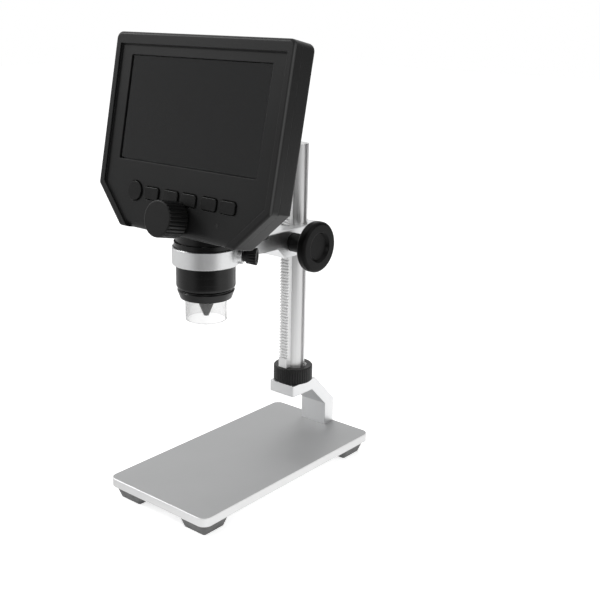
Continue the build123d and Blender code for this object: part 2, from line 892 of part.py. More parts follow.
with BuildPart() as thumb_screw_shank:
    with BuildSketch(clamp_plane.offset(tip_start)):
        Circle(clamp_shank_diameter / 2)
    extrude(amount=head_start + clamp_head_length / 2 - tip_start)
keep(thumb_screw_shank, "thumb_screw_shank")

head_end = head_start + clamp_head_length
clamp_section = Plane(
    origin=(0, barrel_y, clamp_z),
    x_dir=(0, 0, 1),
    z_dir=(-clamp_direction.Y, clamp_direction.X, 0),
)

with BuildPart() as thumb_screw_head:
    with BuildSketch(clamp_section) as head_profile:
        Polygon(
            (clamp_shank_diameter / 2, neck_start),
            (clamp_neck_diameter / 2, neck_start),
            (clamp_neck_diameter / 2, head_start),
            (clamp_head_inner_diameter / 2, head_start),
            (clamp_head_diameter / 2, head_end),
            (clamp_dish_diameter / 2, head_end),
            (clamp_dish_diameter / 2 - clamp_dish_depth, head_end - clamp_dish_depth),
            (0, head_end - clamp_dish_depth),
            (0, head_start + clamp_head_length / 2),
            (clamp_shank_diameter / 2, head_start + clamp_head_length / 2),
            align=None,
        )
        fillet(head_profile.vertices().group_by(Axis.X)[-1], clamp_head_round)
    revolve(axis=Axis((0, barrel_y, clamp_z), clamp_direction))
    with BuildSketch(clamp_plane.offset(head_start)):
        with PolarLocations(clamp_head_diameter / 2, clamp_flutes):
            RegularPolygon(clamp_flute_side, 4)
    extrude(amount=clamp_head_length, mode=Mode.SUBTRACT)
keep(thumb_screw_head, "thumb_screw_head")

# ---------------------------------------------------------------- barrel, light ring and cap

barrel_axis = Axis((0, barrel_y, 0), (0, 0, 1))
barrel_section = Plane(origin=(0, barrel_y, 0), x_dir=(1, 0, 0), z_dir=(0, -1, 0))
nose_bottom = barrel_bottom - nose_groove_height - nose_height
light_board_bottom = nose_bottom + cap_seat
light_board_top = light_board_bottom + light_board_thickness
cap_bottom = nose_bottom - cap_height
snout_tip = cap_bottom + snout_tip_above_cap
housing_floor = housing_bottom + head_wall
spindle_plane = slab_plane(0).shift_origin(on_slab(0, focus_row, 0))

with BuildPart() as barrel_housing:
    with BuildSketch(Plane.XY.offset(barrel_bottom)):
        with Locations((0, barrel_y)):
            Circle(barrel_radius)
    extrude(amount=barrel_top - barrel_bottom)
    fillet(barrel_housing.edges().group_by(Axis.Z)[0], barrel_lip_radius)
    with BuildSketch(Plane.XY.offset(arm_top + seat_gap)):
        with Locations((0, barrel_y)):
            Circle(barrel_collar_diameter / 2)
    extrude(amount=barrel_collar_height)
    with BuildSketch(Plane.XY.offset(housing_floor)):
        with Locations((0, barrel_y)):
            Rectangle(2 * barrel_lug_x + barrel_lug_width, barrel_lug_depth)
    extrude(amount=barrel_lug_height)
    with BuildSketch(Plane.XY.offset(barrel_bottom)):
        with Locations((0, barrel_y)):
            Circle(barrel_bore / 2)
    extrude(amount=barrel_top - barrel_bottom, mode=Mode.SUBTRACT)
    with BuildSketch(Plane.XY.offset(housing_floor)):
        with Locations((0, barrel_y)):
            with GridLocations(2 * barrel_lug_x, 1, 2, 1):
                Circle(barrel_screw_diameter / 2 + running_gap)
    extrude(amount=barrel_lug_height, mode=Mode.SUBTRACT)
    with BuildSketch(spindle_plane):
        Circle(focus_shaft_diameter / 2 + lift_gap)
        with Locations((0, focus_shaft_diameter)):
            Rectangle(focus_shaft_diameter + 2 * lift_gap, 2 * focus_shaft_diameter)
    extrude(amount=-focus_pinion_start, mode=Mode.SUBTRACT)
keep(barrel_housing, "barrel_housing")

with BuildPart() as barrel_screws:
    with Locations((0, barrel_y, housing_bottom)):
        with GridLocations(2 * barrel_lug_x, 1, 2, 1):
            Cone(
                barrel_screw_diameter - seat_gap,
                barrel_screw_diameter / 2,
                (barrel_screw_diameter / 2 - seat_gap) / sink_slope,
                align=(Align.CENTER, Align.CENTER, Align.MIN),
            )
            Cylinder(
                barrel_screw_diameter / 2,
                head_wall + barrel_lug_height,
                align=(Align.CENTER, Align.CENTER, Align.MIN),
            )
    with BuildSketch(Plane.XY.offset(housing_bottom)):
        with Locations((0, barrel_y)):
            with GridLocations(2 * barrel_lug_x, 1, 2, 1):
                Rectangle(barrel_screw_diameter, barrel_screw_diameter * cross_width_ratio)
                Rectangle(barrel_screw_diameter * cross_width_ratio, barrel_screw_diameter)
    extrude(amount=barrel_screw_diameter * cross_depth_ratio, mode=Mode.SUBTRACT)
keep(barrel_screws, "barrel_screws")

nose_shoulder = nose_bottom + nose_height
spigot_radius = barrel_bore / 2 - running_gap
nose_bore_radius = light_board_diameter / 2 + running_gap

with BuildPart() as barrel_nose:
    with BuildSketch(barrel_section):
        Polygon(
            (cap_diameter / 2 + running_gap, nose_bottom),
            (nose_bottom_diameter / 2, nose_bottom),
            (nose_top_diameter / 2, nose_shoulder - nose_edge_chamfer),
            (nose_top_diameter / 2 - nose_edge_chamfer, nose_shoulder),
            (nose_groove_diameter / 2, nose_shoulder),
            (nose_groove_diameter / 2, barrel_bottom),
            (spigot_radius, barrel_bottom),
            (spigot_radius, barrel_bottom + nose_spigot),
            (nose_bore_radius, barrel_bottom + nose_spigot),
            (nose_bore_radius, light_board_bottom),
            (cap_diameter / 2 + running_gap, light_board_bottom),
            align=None,
        )
    revolve(axis=barrel_axis)
keep(barrel_nose, "barrel_nose")

with BuildPart() as light_board:
    with BuildSketch(Plane.XY.offset(light_board_bottom)):
        with Locations((0, barrel_y)):
            Circle(light_board_diameter / 2)
            Circle(snout_top_diameter / 2 + running_gap, mode=Mode.SUBTRACT)
    extrude(amount=light_board_thickness)
keep(light_board, "light_board")

with BuildPart() as light_leds:
    with BuildSketch(Plane.XY.offset(light_board_bottom)):
        with Locations((0, barrel_y)):
            with PolarLocations(light_circle_diameter / 2, light_count):
                Rectangle(light_width, light_width)
    extrude(amount=-light_thickness)
keep(light_leds, "light_leds")

with BuildPart() as lens_snout:
    with BuildSketch(barrel_section):
        Polygon(
            (snout_tip_diameter / 2 - snout_wall, snout_tip),
            (snout_tip_diameter / 2, snout_tip),
            (snout_top_diameter / 2, light_board_bottom),
            (snout_top_diameter / 2, light_board_top),
            (snout_flange_diameter / 2, light_board_top),
            (snout_flange_diameter / 2, light_board_top + snout_flange_height),
            (snout_top_diameter / 2 - snout_wall, light_board_top + snout_flange_height),
            (snout_top_diameter / 2 - snout_wall, light_board_bottom),
            align=None,
        )
    revolve(axis=barrel_axis)
keep(lens_snout, "lens_snout")

with BuildPart() as clear_cap:
    with BuildSketch(Plane.XY.offset(cap_bottom)):
        with Locations((0, barrel_y)):
            Circle(cap_diameter / 2)
            Circle(cap_diameter / 2 - cap_wall, mode=Mode.SUBTRACT)
    extrude(amount=cap_height + cap_seat)
    fillet(clear_cap.edges().group_by(Axis.Z)[0], cap_edge_radius)
keep(clear_cap, "clear_cap")

with BuildPart() as sensor_board:
    with Locations((0, barrel_y, barrel_top)):
        Box(
            sensor_board_width,
            sensor_board_depth,
            sensor_board_thickness,
            align=(Align.CENTER, Align.CENTER, Align.MIN),
        )
keep(sensor_board, "sensor_board")

with BuildPart() as image_sensor:
    with Locations((0, barrel_y, barrel_top)):
        Box(sensor_side, sensor_side, sensor_height, align=(Align.CENTER, Align.CENTER, Align.MAX))
keep(image_sensor, "image_sensor")

# ---------------------------------------------------------------- lens carrier and its drive

carrier_radius = barrel_bore / 2 - running_gap
lens_tube_bottom = housing_bottom - lens_tube_drop
lens_tube_top = lens_tube_bottom + lens_tube_length
lens_bottom = lens_tube_bottom + lens_flange_height
focus_rack = [
    (-focus_radius - across, focus_row + along)
    for across, along in rack_points(
        focus_module, -((focus_rack_teeth + 1) // 2), focus_rack_teeth, gear_backlash / 2
    )
]

with BuildPart() as lens_carrier:
    with BuildSketch(Plane.XY.offset(lens_tube_bottom)):
        with Locations((0, barrel_y)):
            Circle(lens_tube_diameter / 2)
    extrude(amount=lens_tube_top - lens_tube_bottom)
    for flange_bottom in (lens_tube_bottom, lens_tube_top - lens_flange_height):
        with BuildSketch(Plane.XY.offset(flange_bottom)):
            with Locations((0, barrel_y)):
                Circle(carrier_radius)
        extrude(amount=lens_flange_height)
    with BuildSketch(slab_plane(focus_rack_start)):
        Polygon(
            (-focus_radius - focus_rack_thickness, focus_row - focus_rack_down),
            (focus_rack[0][0], focus_row - focus_rack_down),
            *focus_rack,
            (focus_rack[0][0], focus_row + focus_rack_up),
            (-focus_radius - focus_rack_thickness, focus_row + focus_rack_up),
            align=None,
        )
    extrude(amount=-focus_rack_width)
    with BuildSketch(Plane.XY.offset(lens_tube_bottom)):
        with Locations((0, barrel_y)):
            Circle(lens_tube_bore / 2 - lens_ledge)
    extrude(amount=lens_flange_height, mode=Mode.SUBTRACT)
    with BuildSketch(Plane.XY.offset(lens_bottom)):
        with Locations((0, barrel_y)):
            Circle(lens_tube_bore / 2)
    extrude(amount=lens_tube_top - lens_bottom, mode=Mode.SUBTRACT)
keep(lens_carrier, "lens_carrier")

with BuildPart() as objective_lens:
    with BuildSketch(Plane.XY.offset(lens_bottom)):
        with Locations((0, barrel_y)):
            Circle(lens_tube_bore / 2 - running_gap)
    extrude(amount=lens_thickness)
    fillet(objective_lens.edges(), lens_edge_radius)
keep(objective_lens, "objective_lens")

with BuildPart() as focus_spindle:
    with BuildSketch(spindle_plane.offset(focus_spindle_grip)):
        Circle(focus_shaft_diameter / 2)
    extrude(amount=-focus_spindle_grip - focus_pinion_start)
    with BuildSketch(spindle_plane.offset(-focus_pinion_start)):
        Circle(focus_journal_diameter / 2)
    extrude(amount=-focus_pinion_length)
keep(focus_spindle, "focus_spindle")

with BuildPart() as focus_pinion:
    with BuildSketch(spindle_plane.offset(-focus_pinion_start)):
        Polygon(*gear_points(focus_module, focus_teeth, gear_backlash / 2), align=None)
        Circle(focus_journal_diameter / 2, mode=Mode.SUBTRACT)
    extrude(amount=-focus_pinion_length)
keep(focus_pinion, "focus_pinion")

with BuildPart() as focus_bush:
    with BuildSketch(spindle_plane.offset(focus_bush_lip - panel_depth)):
        Circle(focus_bush_flange / 2)
    extrude(amount=-focus_bush_lip)
    with BuildSketch(spindle_plane.offset(-panel_depth)):
        Circle(focus_bush_diameter / 2)
    extrude(amount=-focus_bush_length)
    with BuildSketch(spindle_plane.offset(focus_bush_lip - panel_depth)):
        Circle(focus_shaft_diameter / 2 + running_gap)
    extrude(amount=-focus_bush_lip - focus_bush_length, mode=Mode.SUBTRACT)
keep(focus_bush, "focus_bush")

with BuildPart() as front_focus_knob:
    with BuildSketch(spindle_plane):
        Circle(focus_knob_diameter / 2)
    extrude(amount=focus_knob_face)
    fillet(front_focus_knob.edges().group_by(out_axis)[-1], focus_knob_round)
    fillet(front_focus_knob.edges().group_by(out_axis)[0], focus_knob_back_round)
    with BuildSketch(spindle_plane.offset(focus_bush_lip + lift_gap - panel_depth)):
        Circle(focus_bush_flange / 2)
    extrude(amount=panel_depth)
    with BuildSketch(spindle_plane):
        with PolarLocations(focus_knob_diameter / 2, focus_knob_flutes):
            RegularPolygon(focus_knob_flute_depth, 4)
    extrude(amount=focus_knob_face, mode=Mode.SUBTRACT)
    with BuildSketch(spindle_plane.offset(focus_spindle_grip)):
        Circle(focus_shaft_diameter / 2)
    extrude(amount=-focus_spindle_grip - panel_depth, mode=Mode.SUBTRACT)
keep(front_focus_knob, "front_focus_knob")

# ---------------------------------------------------------------- front shell and keys

rim_half = head_width / 2 - rim_side
rim_up = head_top - rim_top
cut_line = head_width / 2 + head_bottom - head_corner_cut
recess_cut = cut_line - rim_side * sqrt(2)
recess_low = head_bottom + rim_run_out
key_stem_tip = panel_back + key_flange_thickness + key_stem_length
key_board_front = key_stem_tip + seat_gap + key_switch_height
key_spots = [
    pair * key_pair_pitch + half * key_half_pitch for pair in (-1, 0, 1) for half in (-1, 1)
]
key_names = ("power_button", "key_1", "key_2", "key_3", "key_4", "key_5")
board_post_x = head_width / 2 - board_post_inset
board_posts = (
    (-board_post_x, left_post_top),
    (-board_post_x, left_post_bottom),
    (board_post_x, right_post_row),
    (board_post_x, -right_post_row),
)
case_screw_x = head_width / 2 - case_screw_inset
case_screw_top = head_top - case_screw_drop
case_screw_bottom = head_width / 2 - cut_line + case_screw_lift
key_row_middle = (key_board_top + key_board_bottom) / 2


def case_boss_spots():
    """Places of the four case screws on the current slab plane."""
    return Locations(
        (-case_screw_x, case_screw_top),
        (case_screw_x, case_screw_top),
        (-case_screw_x, case_screw_bottom),
        (case_screw_x, case_screw_bottom),
    )


def on_rim(edge):
    """True for an edge of the front face that isn't an edge of the recess."""
    spot = screen_plane.to_local_coords(edge.center())
    past_side = abs(spot.X) - rim_half
    past_top = spot.Y - rim_up
    past_cut = (abs(spot.X) - spot.Y - recess_cut) / sqrt(2)
    return max(past_side, past_top, past_cut) > rim_side / 4


with BuildPart() as front_shell:
    with BuildSketch(slab_plane(panel_depth)):
        slab_outline(0)
    extrude(amount=panel_depth - head_front_depth)
    fillet(
        front_shell.edges().group_by(out_axis)[-1].group_by(up_axis)[0],
        head_bottom_round,
    )
    with BuildSketch(slab_plane(0)):
        slab_outline(0)
        Polygon(
            (-rim_half, rim_up),
            (-rim_half, rim_half - recess_cut),
            (recess_low - recess_cut, -recess_low),
            (recess_cut - recess_low, -recess_low),
            (rim_half, rim_half - recess_cut),
            (rim_half, rim_up),
            align=None,
            mode=Mode.SUBTRACT,
        )
    extrude(amount=-head_front_depth)
    corners = front_shell.edges().filter_by(out_axis).filter_by(on_rim).group_by(up_axis)
    fillet(corners[-1], head_top_corner)
    fillet(corners[0] + corners[1], head_cut_corner)
    fillet(front_shell.edges().group_by(out_axis)[-1].filter_by(on_rim), head_front_round)
    with BuildSketch(slab_plane(panel_back)):
        slab_outline(head_wall)
    extrude(amount=panel_back - head_front_depth, mode=Mode.SUBTRACT)
    with BuildSketch(slab_plane(panel_back)):
        with case_boss_spots():
            Circle(case_boss_diameter / 2)
    extrude(amount=panel_back - head_front_depth)
    with BuildSketch(slab_plane(panel_back)):
        with Locations(*board_posts):
            Circle(board_post_diameter / 2)
    extrude(amount=panel_back - board_front)
    with BuildSketch(slab_plane(panel_back)):
        with Locations((-key_post_x, key_row), (key_post_x, key_row)):
            Circle(board_post_diameter / 2)
    extrude(amount=panel_back - key_board_front)
    with BuildSketch(slab_plane(0)):
        RectangleRounded(window_width, window_height, window_corner)
        with Locations((key_spots[0], key_row)):
            Circle(power_key_diameter / 2 + key_gap)
        with Locations(*[(across, key_row) for across in key_spots[1:]]):
            RectangleRounded(
                key_width + 2 * key_gap, key_height + 2 * key_gap, key_corner + key_gap
            )
        with Locations((0, focus_row)):
            Circle(focus_bush_diameter / 2 + running_gap)
        with Locations((lamp_x, lamp_row)):
            Circle(lamp_diameter / 2 + running_gap)
    extrude(amount=-panel_back, mode=Mode.SUBTRACT)
    with BuildSketch(slab_plane(head_front_depth)):
        with case_boss_spots():
            Circle(case_screw_diameter / 2 + running_gap)
    extrude(amount=head_front_depth - panel_back, mode=Mode.SUBTRACT)
    with BuildSketch(slab_plane(board_front)):
        with Locations(*board_posts):
            Circle(board_screw_diameter / 2 + running_gap)
    extrude(amount=board_screw_length, mode=Mode.SUBTRACT)
    with BuildSketch(slab_plane(key_board_front)):
        with Locations((-key_post_x, key_row), (key_post_x, key_row)):
            Circle(board_screw_diameter / 2 + running_gap)
    extrude(amount=key_board_front - panel_back, mode=Mode.SUBTRACT)
keep(front_shell, "front_shell")

for across, key_name in zip(key_spots, key_names):
    with BuildPart() as key:
        with BuildSketch(slab_plane(panel_depth - key_proud)):
            with Locations((across, key_row)):
                if key_name == "power_button":
                    Circle(power_key_diameter / 2)
                else:
                    RectangleRounded(key_width, key_height, key_corner)
        extrude(amount=panel_depth - key_proud - panel_back)
        fillet(key.edges().group_by(out_axis)[-1], key_edge_radius)
        with BuildSketch(slab_plane(panel_back)):
            with Locations((across, key_row)):
                if key_name == "power_button":
                    Circle(power_key_diameter / 2 + key_flange)
                else:
                    RectangleRounded(
                        key_width + 2 * key_flange,
                        key_height + 2 * key_flange,
                        key_corner + key_flange,
                    )
        extrude(amount=-key_flange_thickness)
        with BuildSketch(slab_plane(panel_back + key_flange_thickness)):
            with Locations((across, key_row)):
                Circle(key_stem_diameter / 2)
        extrude(amount=-key_stem_length)
    keep(key, key_name)

with BuildPart() as key_switches:
    with BuildSketch(slab_plane(key_stem_tip + seat_gap)):
        with Locations(*[(across, key_row) for across in key_spots]):
            Rectangle(key_switch_side, key_switch_side)
    extrude(amount=-key_switch_height)
    with BuildSketch(slab_plane(key_stem_tip + seat_gap)):
        with Locations(*[(across, key_row) for across in key_spots]):
            Circle(key_stem_diameter / 2 + seat_gap)
    extrude(amount=-key_travel, mode=Mode.SUBTRACT)
keep(key_switches, "key_switches")

with BuildPart() as key_board:
    with BuildSketch(slab_plane(key_board_front)):
        with Locations((0, key_row_middle)):
            Rectangle(key_board_width, key_board_top - key_board_bottom)
        with Locations((-key_post_x, key_row), (key_post_x, key_row)):
            Circle(board_screw_diameter / 2 + running_gap, mode=Mode.SUBTRACT)
    extrude(amount=-key_board_thickness)
keep(key_board, "key_board")

with BuildPart() as charge_lamp:
    with BuildSketch(slab_plane(panel_depth)):
        with Locations((lamp_x, lamp_row)):
            Circle(lamp_diameter / 2)
    extrude(amount=panel_depth - panel_back)
    with BuildSketch(slab_plane(panel_back)):
        with Locations((lamp_x, lamp_row)):
            Circle(lamp_flange / 2)
    extrude(amount=-lamp_flange_height)
keep(charge_lamp, "charge_lamp")

# ---------------------------------------------------------------- display and boards

with BuildPart() as screen_glass:
    with BuildSketch(slab_plane(panel_back)):
        Rectangle(window_width + 2 * glass_margin, window_height + 2 * glass_margin)
    extrude(amount=-glass_thickness)
keep(screen_glass, "screen_glass")

with BuildPart() as lcd_module:
    with BuildSketch(slab_plane(glass_back)):
        Rectangle(lcd_width, lcd_height)
    extrude(amount=-lcd_thickness)
keep(lcd_module, "lcd_module")

board_reach = head_width / 2 - head_wall - board_side_gap
board_width = 2 * (board_reach - board_tab_width)

with BuildPart() as main_board:
    with BuildSketch(slab_plane(board_front)):
        with Locations((0, (board_top + board_bottom) / 2)):
            Rectangle(board_width, board_top - board_bottom)
        with Locations((0, (board_tab_top + board_tab_bottom) / 2)):
            Rectangle(2 * board_reach, board_tab_top - board_tab_bottom)
        with Locations(*board_posts):
            Circle(board_screw_diameter / 2 + running_gap, mode=Mode.SUBTRACT)
    extrude(amount=-board_thickness)
keep(main_board, "main_board")

key_board_back = key_board_front + key_board_thickness

with BuildPart() as board_screws:
    for board_face, spots in (
        (board_back, board_posts),
        (key_board_back, ((-key_post_x, key_row), (key_post_x, key_row))),
    ):
        with BuildSketch(slab_plane(board_face)):
            with Locations(*spots):
                Circle(board_screw_head / 2)
        extrude(amount=-board_screw_head_height)
        with BuildSketch(slab_plane(board_face)):
            with Locations(*spots):
                Circle(board_screw_diameter / 2)
        extrude(amount=key_board_back - panel_back - running_gap)
keep(board_screws, "board_screws")

usb_face_x = -head_width / 2 + 2 * seat_gap

with BuildPart() as usb_socket:
    with BuildSketch(slab_plane(board_back)):
        with Locations((usb_face_x + usb_length / 2, usb_row)):
            Rectangle(usb_length, usb_width)
    extrude(amount=-usb_height)
    fillet(usb_socket.edges().filter_by(Axis.X), usb_corner)
    with BuildSketch(slab_plane(board_back + socket_sheet)):
        with Locations((usb_face_x + usb_length / 2 - socket_sheet, usb_row)):
            Rectangle(usb_length, usb_width - 2 * socket_sheet)
    extrude(amount=2 * socket_sheet - usb_height, mode=Mode.SUBTRACT)
keep(usb_socket, "usb_socket")

with BuildPart() as card_socket:
    with BuildSketch(slab_plane(board_back)):
        with Locations((usb_face_x + card_length / 2, card_row)):
            Rectangle(card_length, card_width)
    extrude(amount=-card_height)
    with BuildSketch(slab_plane(board_back + socket_sheet)):
        with Locations((usb_face_x + card_length / 2 - socket_sheet, card_row)):
            Rectangle(card_length, card_width - 2 * socket_sheet)
    extrude(amount=2 * socket_sheet - card_height, mode=Mode.SUBTRACT)
keep(card_socket, "card_socket")

# ---------------------------------------------------------------- light wheel

wheel_x = -head_width / 2 + wheel_inset + wheel_diameter / 2
wheel_front = board_back + wheel_control_height + lift_gap
wheel_back = wheel_front + wheel_thickness

with BuildPart() as light_control:
    with BuildSketch(slab_plane(board_back)):
        with Locations((wheel_x, wheel_row)):
            Rectangle(wheel_control_side, wheel_control_side)
    extrude(amount=-wheel_control_height)
    with BuildSketch(slab_plane(board_back + wheel_control_height)):
        with Locations((wheel_x, wheel_row)):
            Circle(wheel_axle_diameter / 2)
    extrude(amount=-lift_gap - wheel_thickness)
keep(light_control, "light_control")

with BuildPart() as light_wheel:
    with BuildSketch(slab_plane(wheel_front)):
        with Locations((wheel_x, wheel_row)):
            Circle(wheel_diameter / 2)
            Circle(wheel_axle_diameter / 2 + running_gap, mode=Mode.SUBTRACT)
            with PolarLocations(wheel_diameter / 2, wheel_flutes):
                RegularPolygon(wheel_flute_depth, 4, mode=Mode.SUBTRACT)
    extrude(amount=-wheel_thickness)
keep(light_wheel, "light_wheel")

# ---------------------------------------------------------------- rear shell, battery and door

door_bottom = housing_bottom + door_rise
battery_bottom = housing_bottom + battery_rise
door_middle = door_bottom + door_height / 2
opening_height = door_height - door_foot - door_lip
opening_middle = door_bottom + door_foot + opening_height / 2
door_screw_z = door_bottom + door_foot / 2
housing_inside = housing_back - head_wall

with BuildPart() as rear_shell:
    with BuildSketch(slab_plane(head_front_depth)):
        slab_outline(0)
    extrude(amount=head_front_depth - head_depth)
    fillet(rear_shell.edges().filter_by(out_axis).group_by(up_axis)[-1], head_top_corner)
    fillet(rear_shell.edges().filter_by(out_axis).group_by(up_axis)[0], head_cut_corner)
    fillet(rear_shell.edges().group_by(out_axis)[0], head_back_round)
    with BuildSketch(Plane.YZ.offset(-housing_width / 2)):
        housing_outline(0)
    extrude(amount=housing_width)
    fillet(rear_shell.edges().filter_by(Axis.Z).group_by(Axis.Y)[-1], housing_round)
    with BuildSketch(slab_plane(head_front_depth)):
        slab_outline(head_wall)
    extrude(amount=head_front_depth + head_wall - head_depth, mode=Mode.SUBTRACT)
    with BuildSketch(Plane.YZ.offset(head_wall - housing_width / 2)):
        housing_outline(head_wall)
    extrude(amount=housing_width - 2 * head_wall, mode=Mode.SUBTRACT)
    with BuildSketch(slab_plane(head_front_depth)):
        with case_boss_spots():
            Circle(case_boss_diameter / 2)
    extrude(amount=head_front_depth + head_wall - head_depth)
    with BuildSketch(slab_plane(head_front_depth)):
        with case_boss_spots():
            Circle(case_screw_diameter / 2 + running_gap)
    extrude(amount=head_front_depth - head_depth, mode=Mode.SUBTRACT)
    with BuildSketch(slab_plane(head_depth)):
        with case_boss_spots():
            Circle(case_screw_head / 2 + seat_gap)
    extrude(amount=case_screw_head_height, mode=Mode.SUBTRACT)
    with BuildSketch(Plane.XY.offset(housing_bottom - 1)):
        with Locations((0, barrel_y)):
            Circle(barrel_radius + seat_gap)
    extrude(amount=2 * head_wall + head_depth / 2, mode=Mode.SUBTRACT)
    with Locations(Plane(origin=(0, barrel_y, housing_bottom), z_dir=(0, 0, -1))):
        with GridLocations(2 * barrel_lug_x, 1, 2, 1):
            CounterSinkHole(
                barrel_screw_diameter / 2 + seat_gap,
                barrel_screw_diameter,
                head_wall,
                counter_sink_angle=sink_angle,
            )
    with BuildSketch(back_plane(door_middle)):
        Rectangle(door_width + 2 * seat_gap, door_height + 2 * seat_gap)
    extrude(amount=-door_thickness, mode=Mode.SUBTRACT)
    with BuildSketch(back_plane(opening_middle)):
        Rectangle(door_width - 2 * door_lip, opening_height)
    extrude(amount=-head_wall, mode=Mode.SUBTRACT)
    with BuildSketch(back_plane(door_screw_z).offset(-head_wall)):
        Circle(case_boss_diameter / 2)
    extrude(amount=-door_foot / 2)
    with BuildSketch(back_plane(door_screw_z)):
        Circle(door_screw_diameter / 2 + running_gap)
    extrude(amount=-head_wall - door_foot / 2, mode=Mode.SUBTRACT)
    for side in (-1, 1):
        with Locations((side * battery_rib_x, housing_inside, battery_bottom)):
            Box(
                battery_rib_width,
                battery_thickness - door_thickness,
                head_wall,
                align=(Align.CENTER, Align.MAX, Align.MAX),
            )
    with BuildSketch(slab_plane(board_back - seat_gap)):
        with Locations((-head_width / 2, usb_row)):
            Rectangle(4 * head_wall, usb_width + 4 * seat_gap)
    extrude(amount=-usb_height - 3 * seat_gap, mode=Mode.SUBTRACT)
    with BuildSketch(slab_plane(board_back - seat_gap)):
        with Locations((-head_width / 2, card_row)):
            Rectangle(4 * head_wall, card_width + 4 * seat_gap)
    extrude(amount=-card_height - 3 * seat_gap, mode=Mode.SUBTRACT)
    with BuildSketch(slab_plane(wheel_front - seat_gap)):
        with Locations((wheel_x, wheel_row)):
            Circle(wheel_diameter / 2 + lift_gap)
    extrude(amount=-wheel_thickness - 2 * seat_gap, mode=Mode.SUBTRACT)
    with BuildSketch(slab_plane(wheel_front - wheel_control_height / 2)):
        with Locations((scoop_depth - scoop_radius - head_width / 2, wheel_row)):
            Circle(scoop_radius)
    extrude(amount=-wheel_thickness - wheel_control_height, mode=Mode.SUBTRACT)
keep(rear_shell, "rear_shell")

with BuildPart() as case_screws:
    with BuildSketch(slab_plane(head_depth - seat_gap)):
        with case_boss_spots():
            Circle(case_screw_head / 2)
    extrude(amount=case_screw_head_height - seat_gap)
    with BuildSketch(slab_plane(head_depth - case_screw_head_height)):
        with case_boss_spots():
            Circle(case_screw_diameter / 2)
    extrude(amount=head_depth - case_screw_head_height - panel_back - running_gap)
    with BuildSketch(slab_plane(head_depth - seat_gap)):
        with case_boss_spots():
            Rectangle(case_screw_diameter, case_screw_diameter * cross_width_ratio)
            Rectangle(case_screw_diameter * cross_width_ratio, case_screw_diameter)
    extrude(amount=case_screw_head_height / 2, mode=Mode.SUBTRACT)
keep(case_screws, "case_screws")

with BuildPart() as battery:
    with Locations((0, housing_back - door_thickness, battery_bottom)):
        Box(
            battery_width,
            battery_thickness,
            battery_height,
            align=(Align.CENTER, Align.MAX, Align.MIN),
        )
    fillet(battery.edges().filter_by(Axis.X), battery_round)
keep(battery, "battery")

with BuildPart() as battery_door:
    with BuildSketch(back_plane(door_middle)):
        Rectangle(door_width, door_height)
    extrude(amount=-door_thickness)
    with Locations(back_plane(door_screw_z)):
        CounterSinkHole(
            door_screw_diameter / 2 + seat_gap,
            door_screw_diameter,
            door_thickness,
            counter_sink_angle=sink_angle,
        )
keep(battery_door, "battery_door")

with BuildPart() as door_screw:
    with Locations(Plane(origin=(0, housing_back, door_screw_z), z_dir=(0, -1, 0))):
        Cone(
            door_screw_diameter - seat_gap,
            door_screw_diameter / 2,
            (door_screw_diameter / 2 - seat_gap) / sink_slope,
            align=(Align.CENTER, Align.CENTER, Align.MIN),
        )
        Cylinder(
            door_screw_diameter / 2,
            head_wall + door_foot / 2,
            align=(Align.CENTER, Align.CENTER, Align.MIN),
        )
    with BuildSketch(back_plane(door_screw_z)):
        Rectangle(door_screw_diameter, door_screw_diameter * cross_width_ratio)
        Rectangle(door_screw_diameter * cross_width_ratio, door_screw_diameter)
    extrude(amount=-door_screw_diameter * cross_depth_ratio, mode=Mode.SUBTRACT)
keep(door_screw, "door_screw")
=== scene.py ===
from math import cos, pi, radians, sin

import bpy
from mathutils import Matrix, Vector


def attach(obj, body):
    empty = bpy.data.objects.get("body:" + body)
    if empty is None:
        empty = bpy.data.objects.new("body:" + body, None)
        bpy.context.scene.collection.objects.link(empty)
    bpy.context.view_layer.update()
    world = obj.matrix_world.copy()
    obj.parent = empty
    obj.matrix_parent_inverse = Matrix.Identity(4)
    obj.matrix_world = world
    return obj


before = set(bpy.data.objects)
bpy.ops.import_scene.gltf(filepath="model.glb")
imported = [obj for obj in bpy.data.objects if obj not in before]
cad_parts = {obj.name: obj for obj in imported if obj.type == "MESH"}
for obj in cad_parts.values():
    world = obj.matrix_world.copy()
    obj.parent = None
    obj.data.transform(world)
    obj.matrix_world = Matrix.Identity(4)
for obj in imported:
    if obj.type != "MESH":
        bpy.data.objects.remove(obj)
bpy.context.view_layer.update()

# ---------------------------------------------------------------- camera
# A tabletop view from the front right, a little above the screen's middle.
# The long lens keeps the column and the base edges nearly parallel.

camera_yaw = radians(41.07)
camera_pitch = radians(16.97)
camera_roll = radians(0.38)
sight = Vector(
    (
        -sin(camera_yaw) * cos(camera_pitch),
        cos(camera_yaw) * cos(camera_pitch),
        -sin(camera_pitch),
    )
)
level_right = Vector((cos(camera_yaw), sin(camera_yaw), 0))
level_up = level_right.cross(sight)
camera_right = cos(camera_roll) * level_right + sin(camera_roll) * level_up
camera_up = cos(camera_roll) * level_up - sin(camera_roll) * level_right

camera_data = bpy.data.cameras.new("camera")
camera_data.sensor_width = 36
camera_data.lens = 59.83
camera_data.shift_x = 0.0706
camera_data.shift_y = -0.0027
camera_data.clip_start = 0.01
camera = bpy.data.objects.new("camera", camera_data)
bpy.context.scene.collection.objects.link(camera)
camera.location = (0.36541, -0.40931, 0.27768)
camera.rotation_euler = Matrix((camera_right, camera_up, -sight)).transposed().to_euler()
bpy.context.scene.camera = camera
bpy.context.scene.view_settings.view_transform = "Standard"

# ---------------------------------------------------------------- studio
# A white table under the object and a white wall behind it. Only gloss shows that the room
# is dimmer in front and at the far right. Lamps stand on the left, on the right and in front.


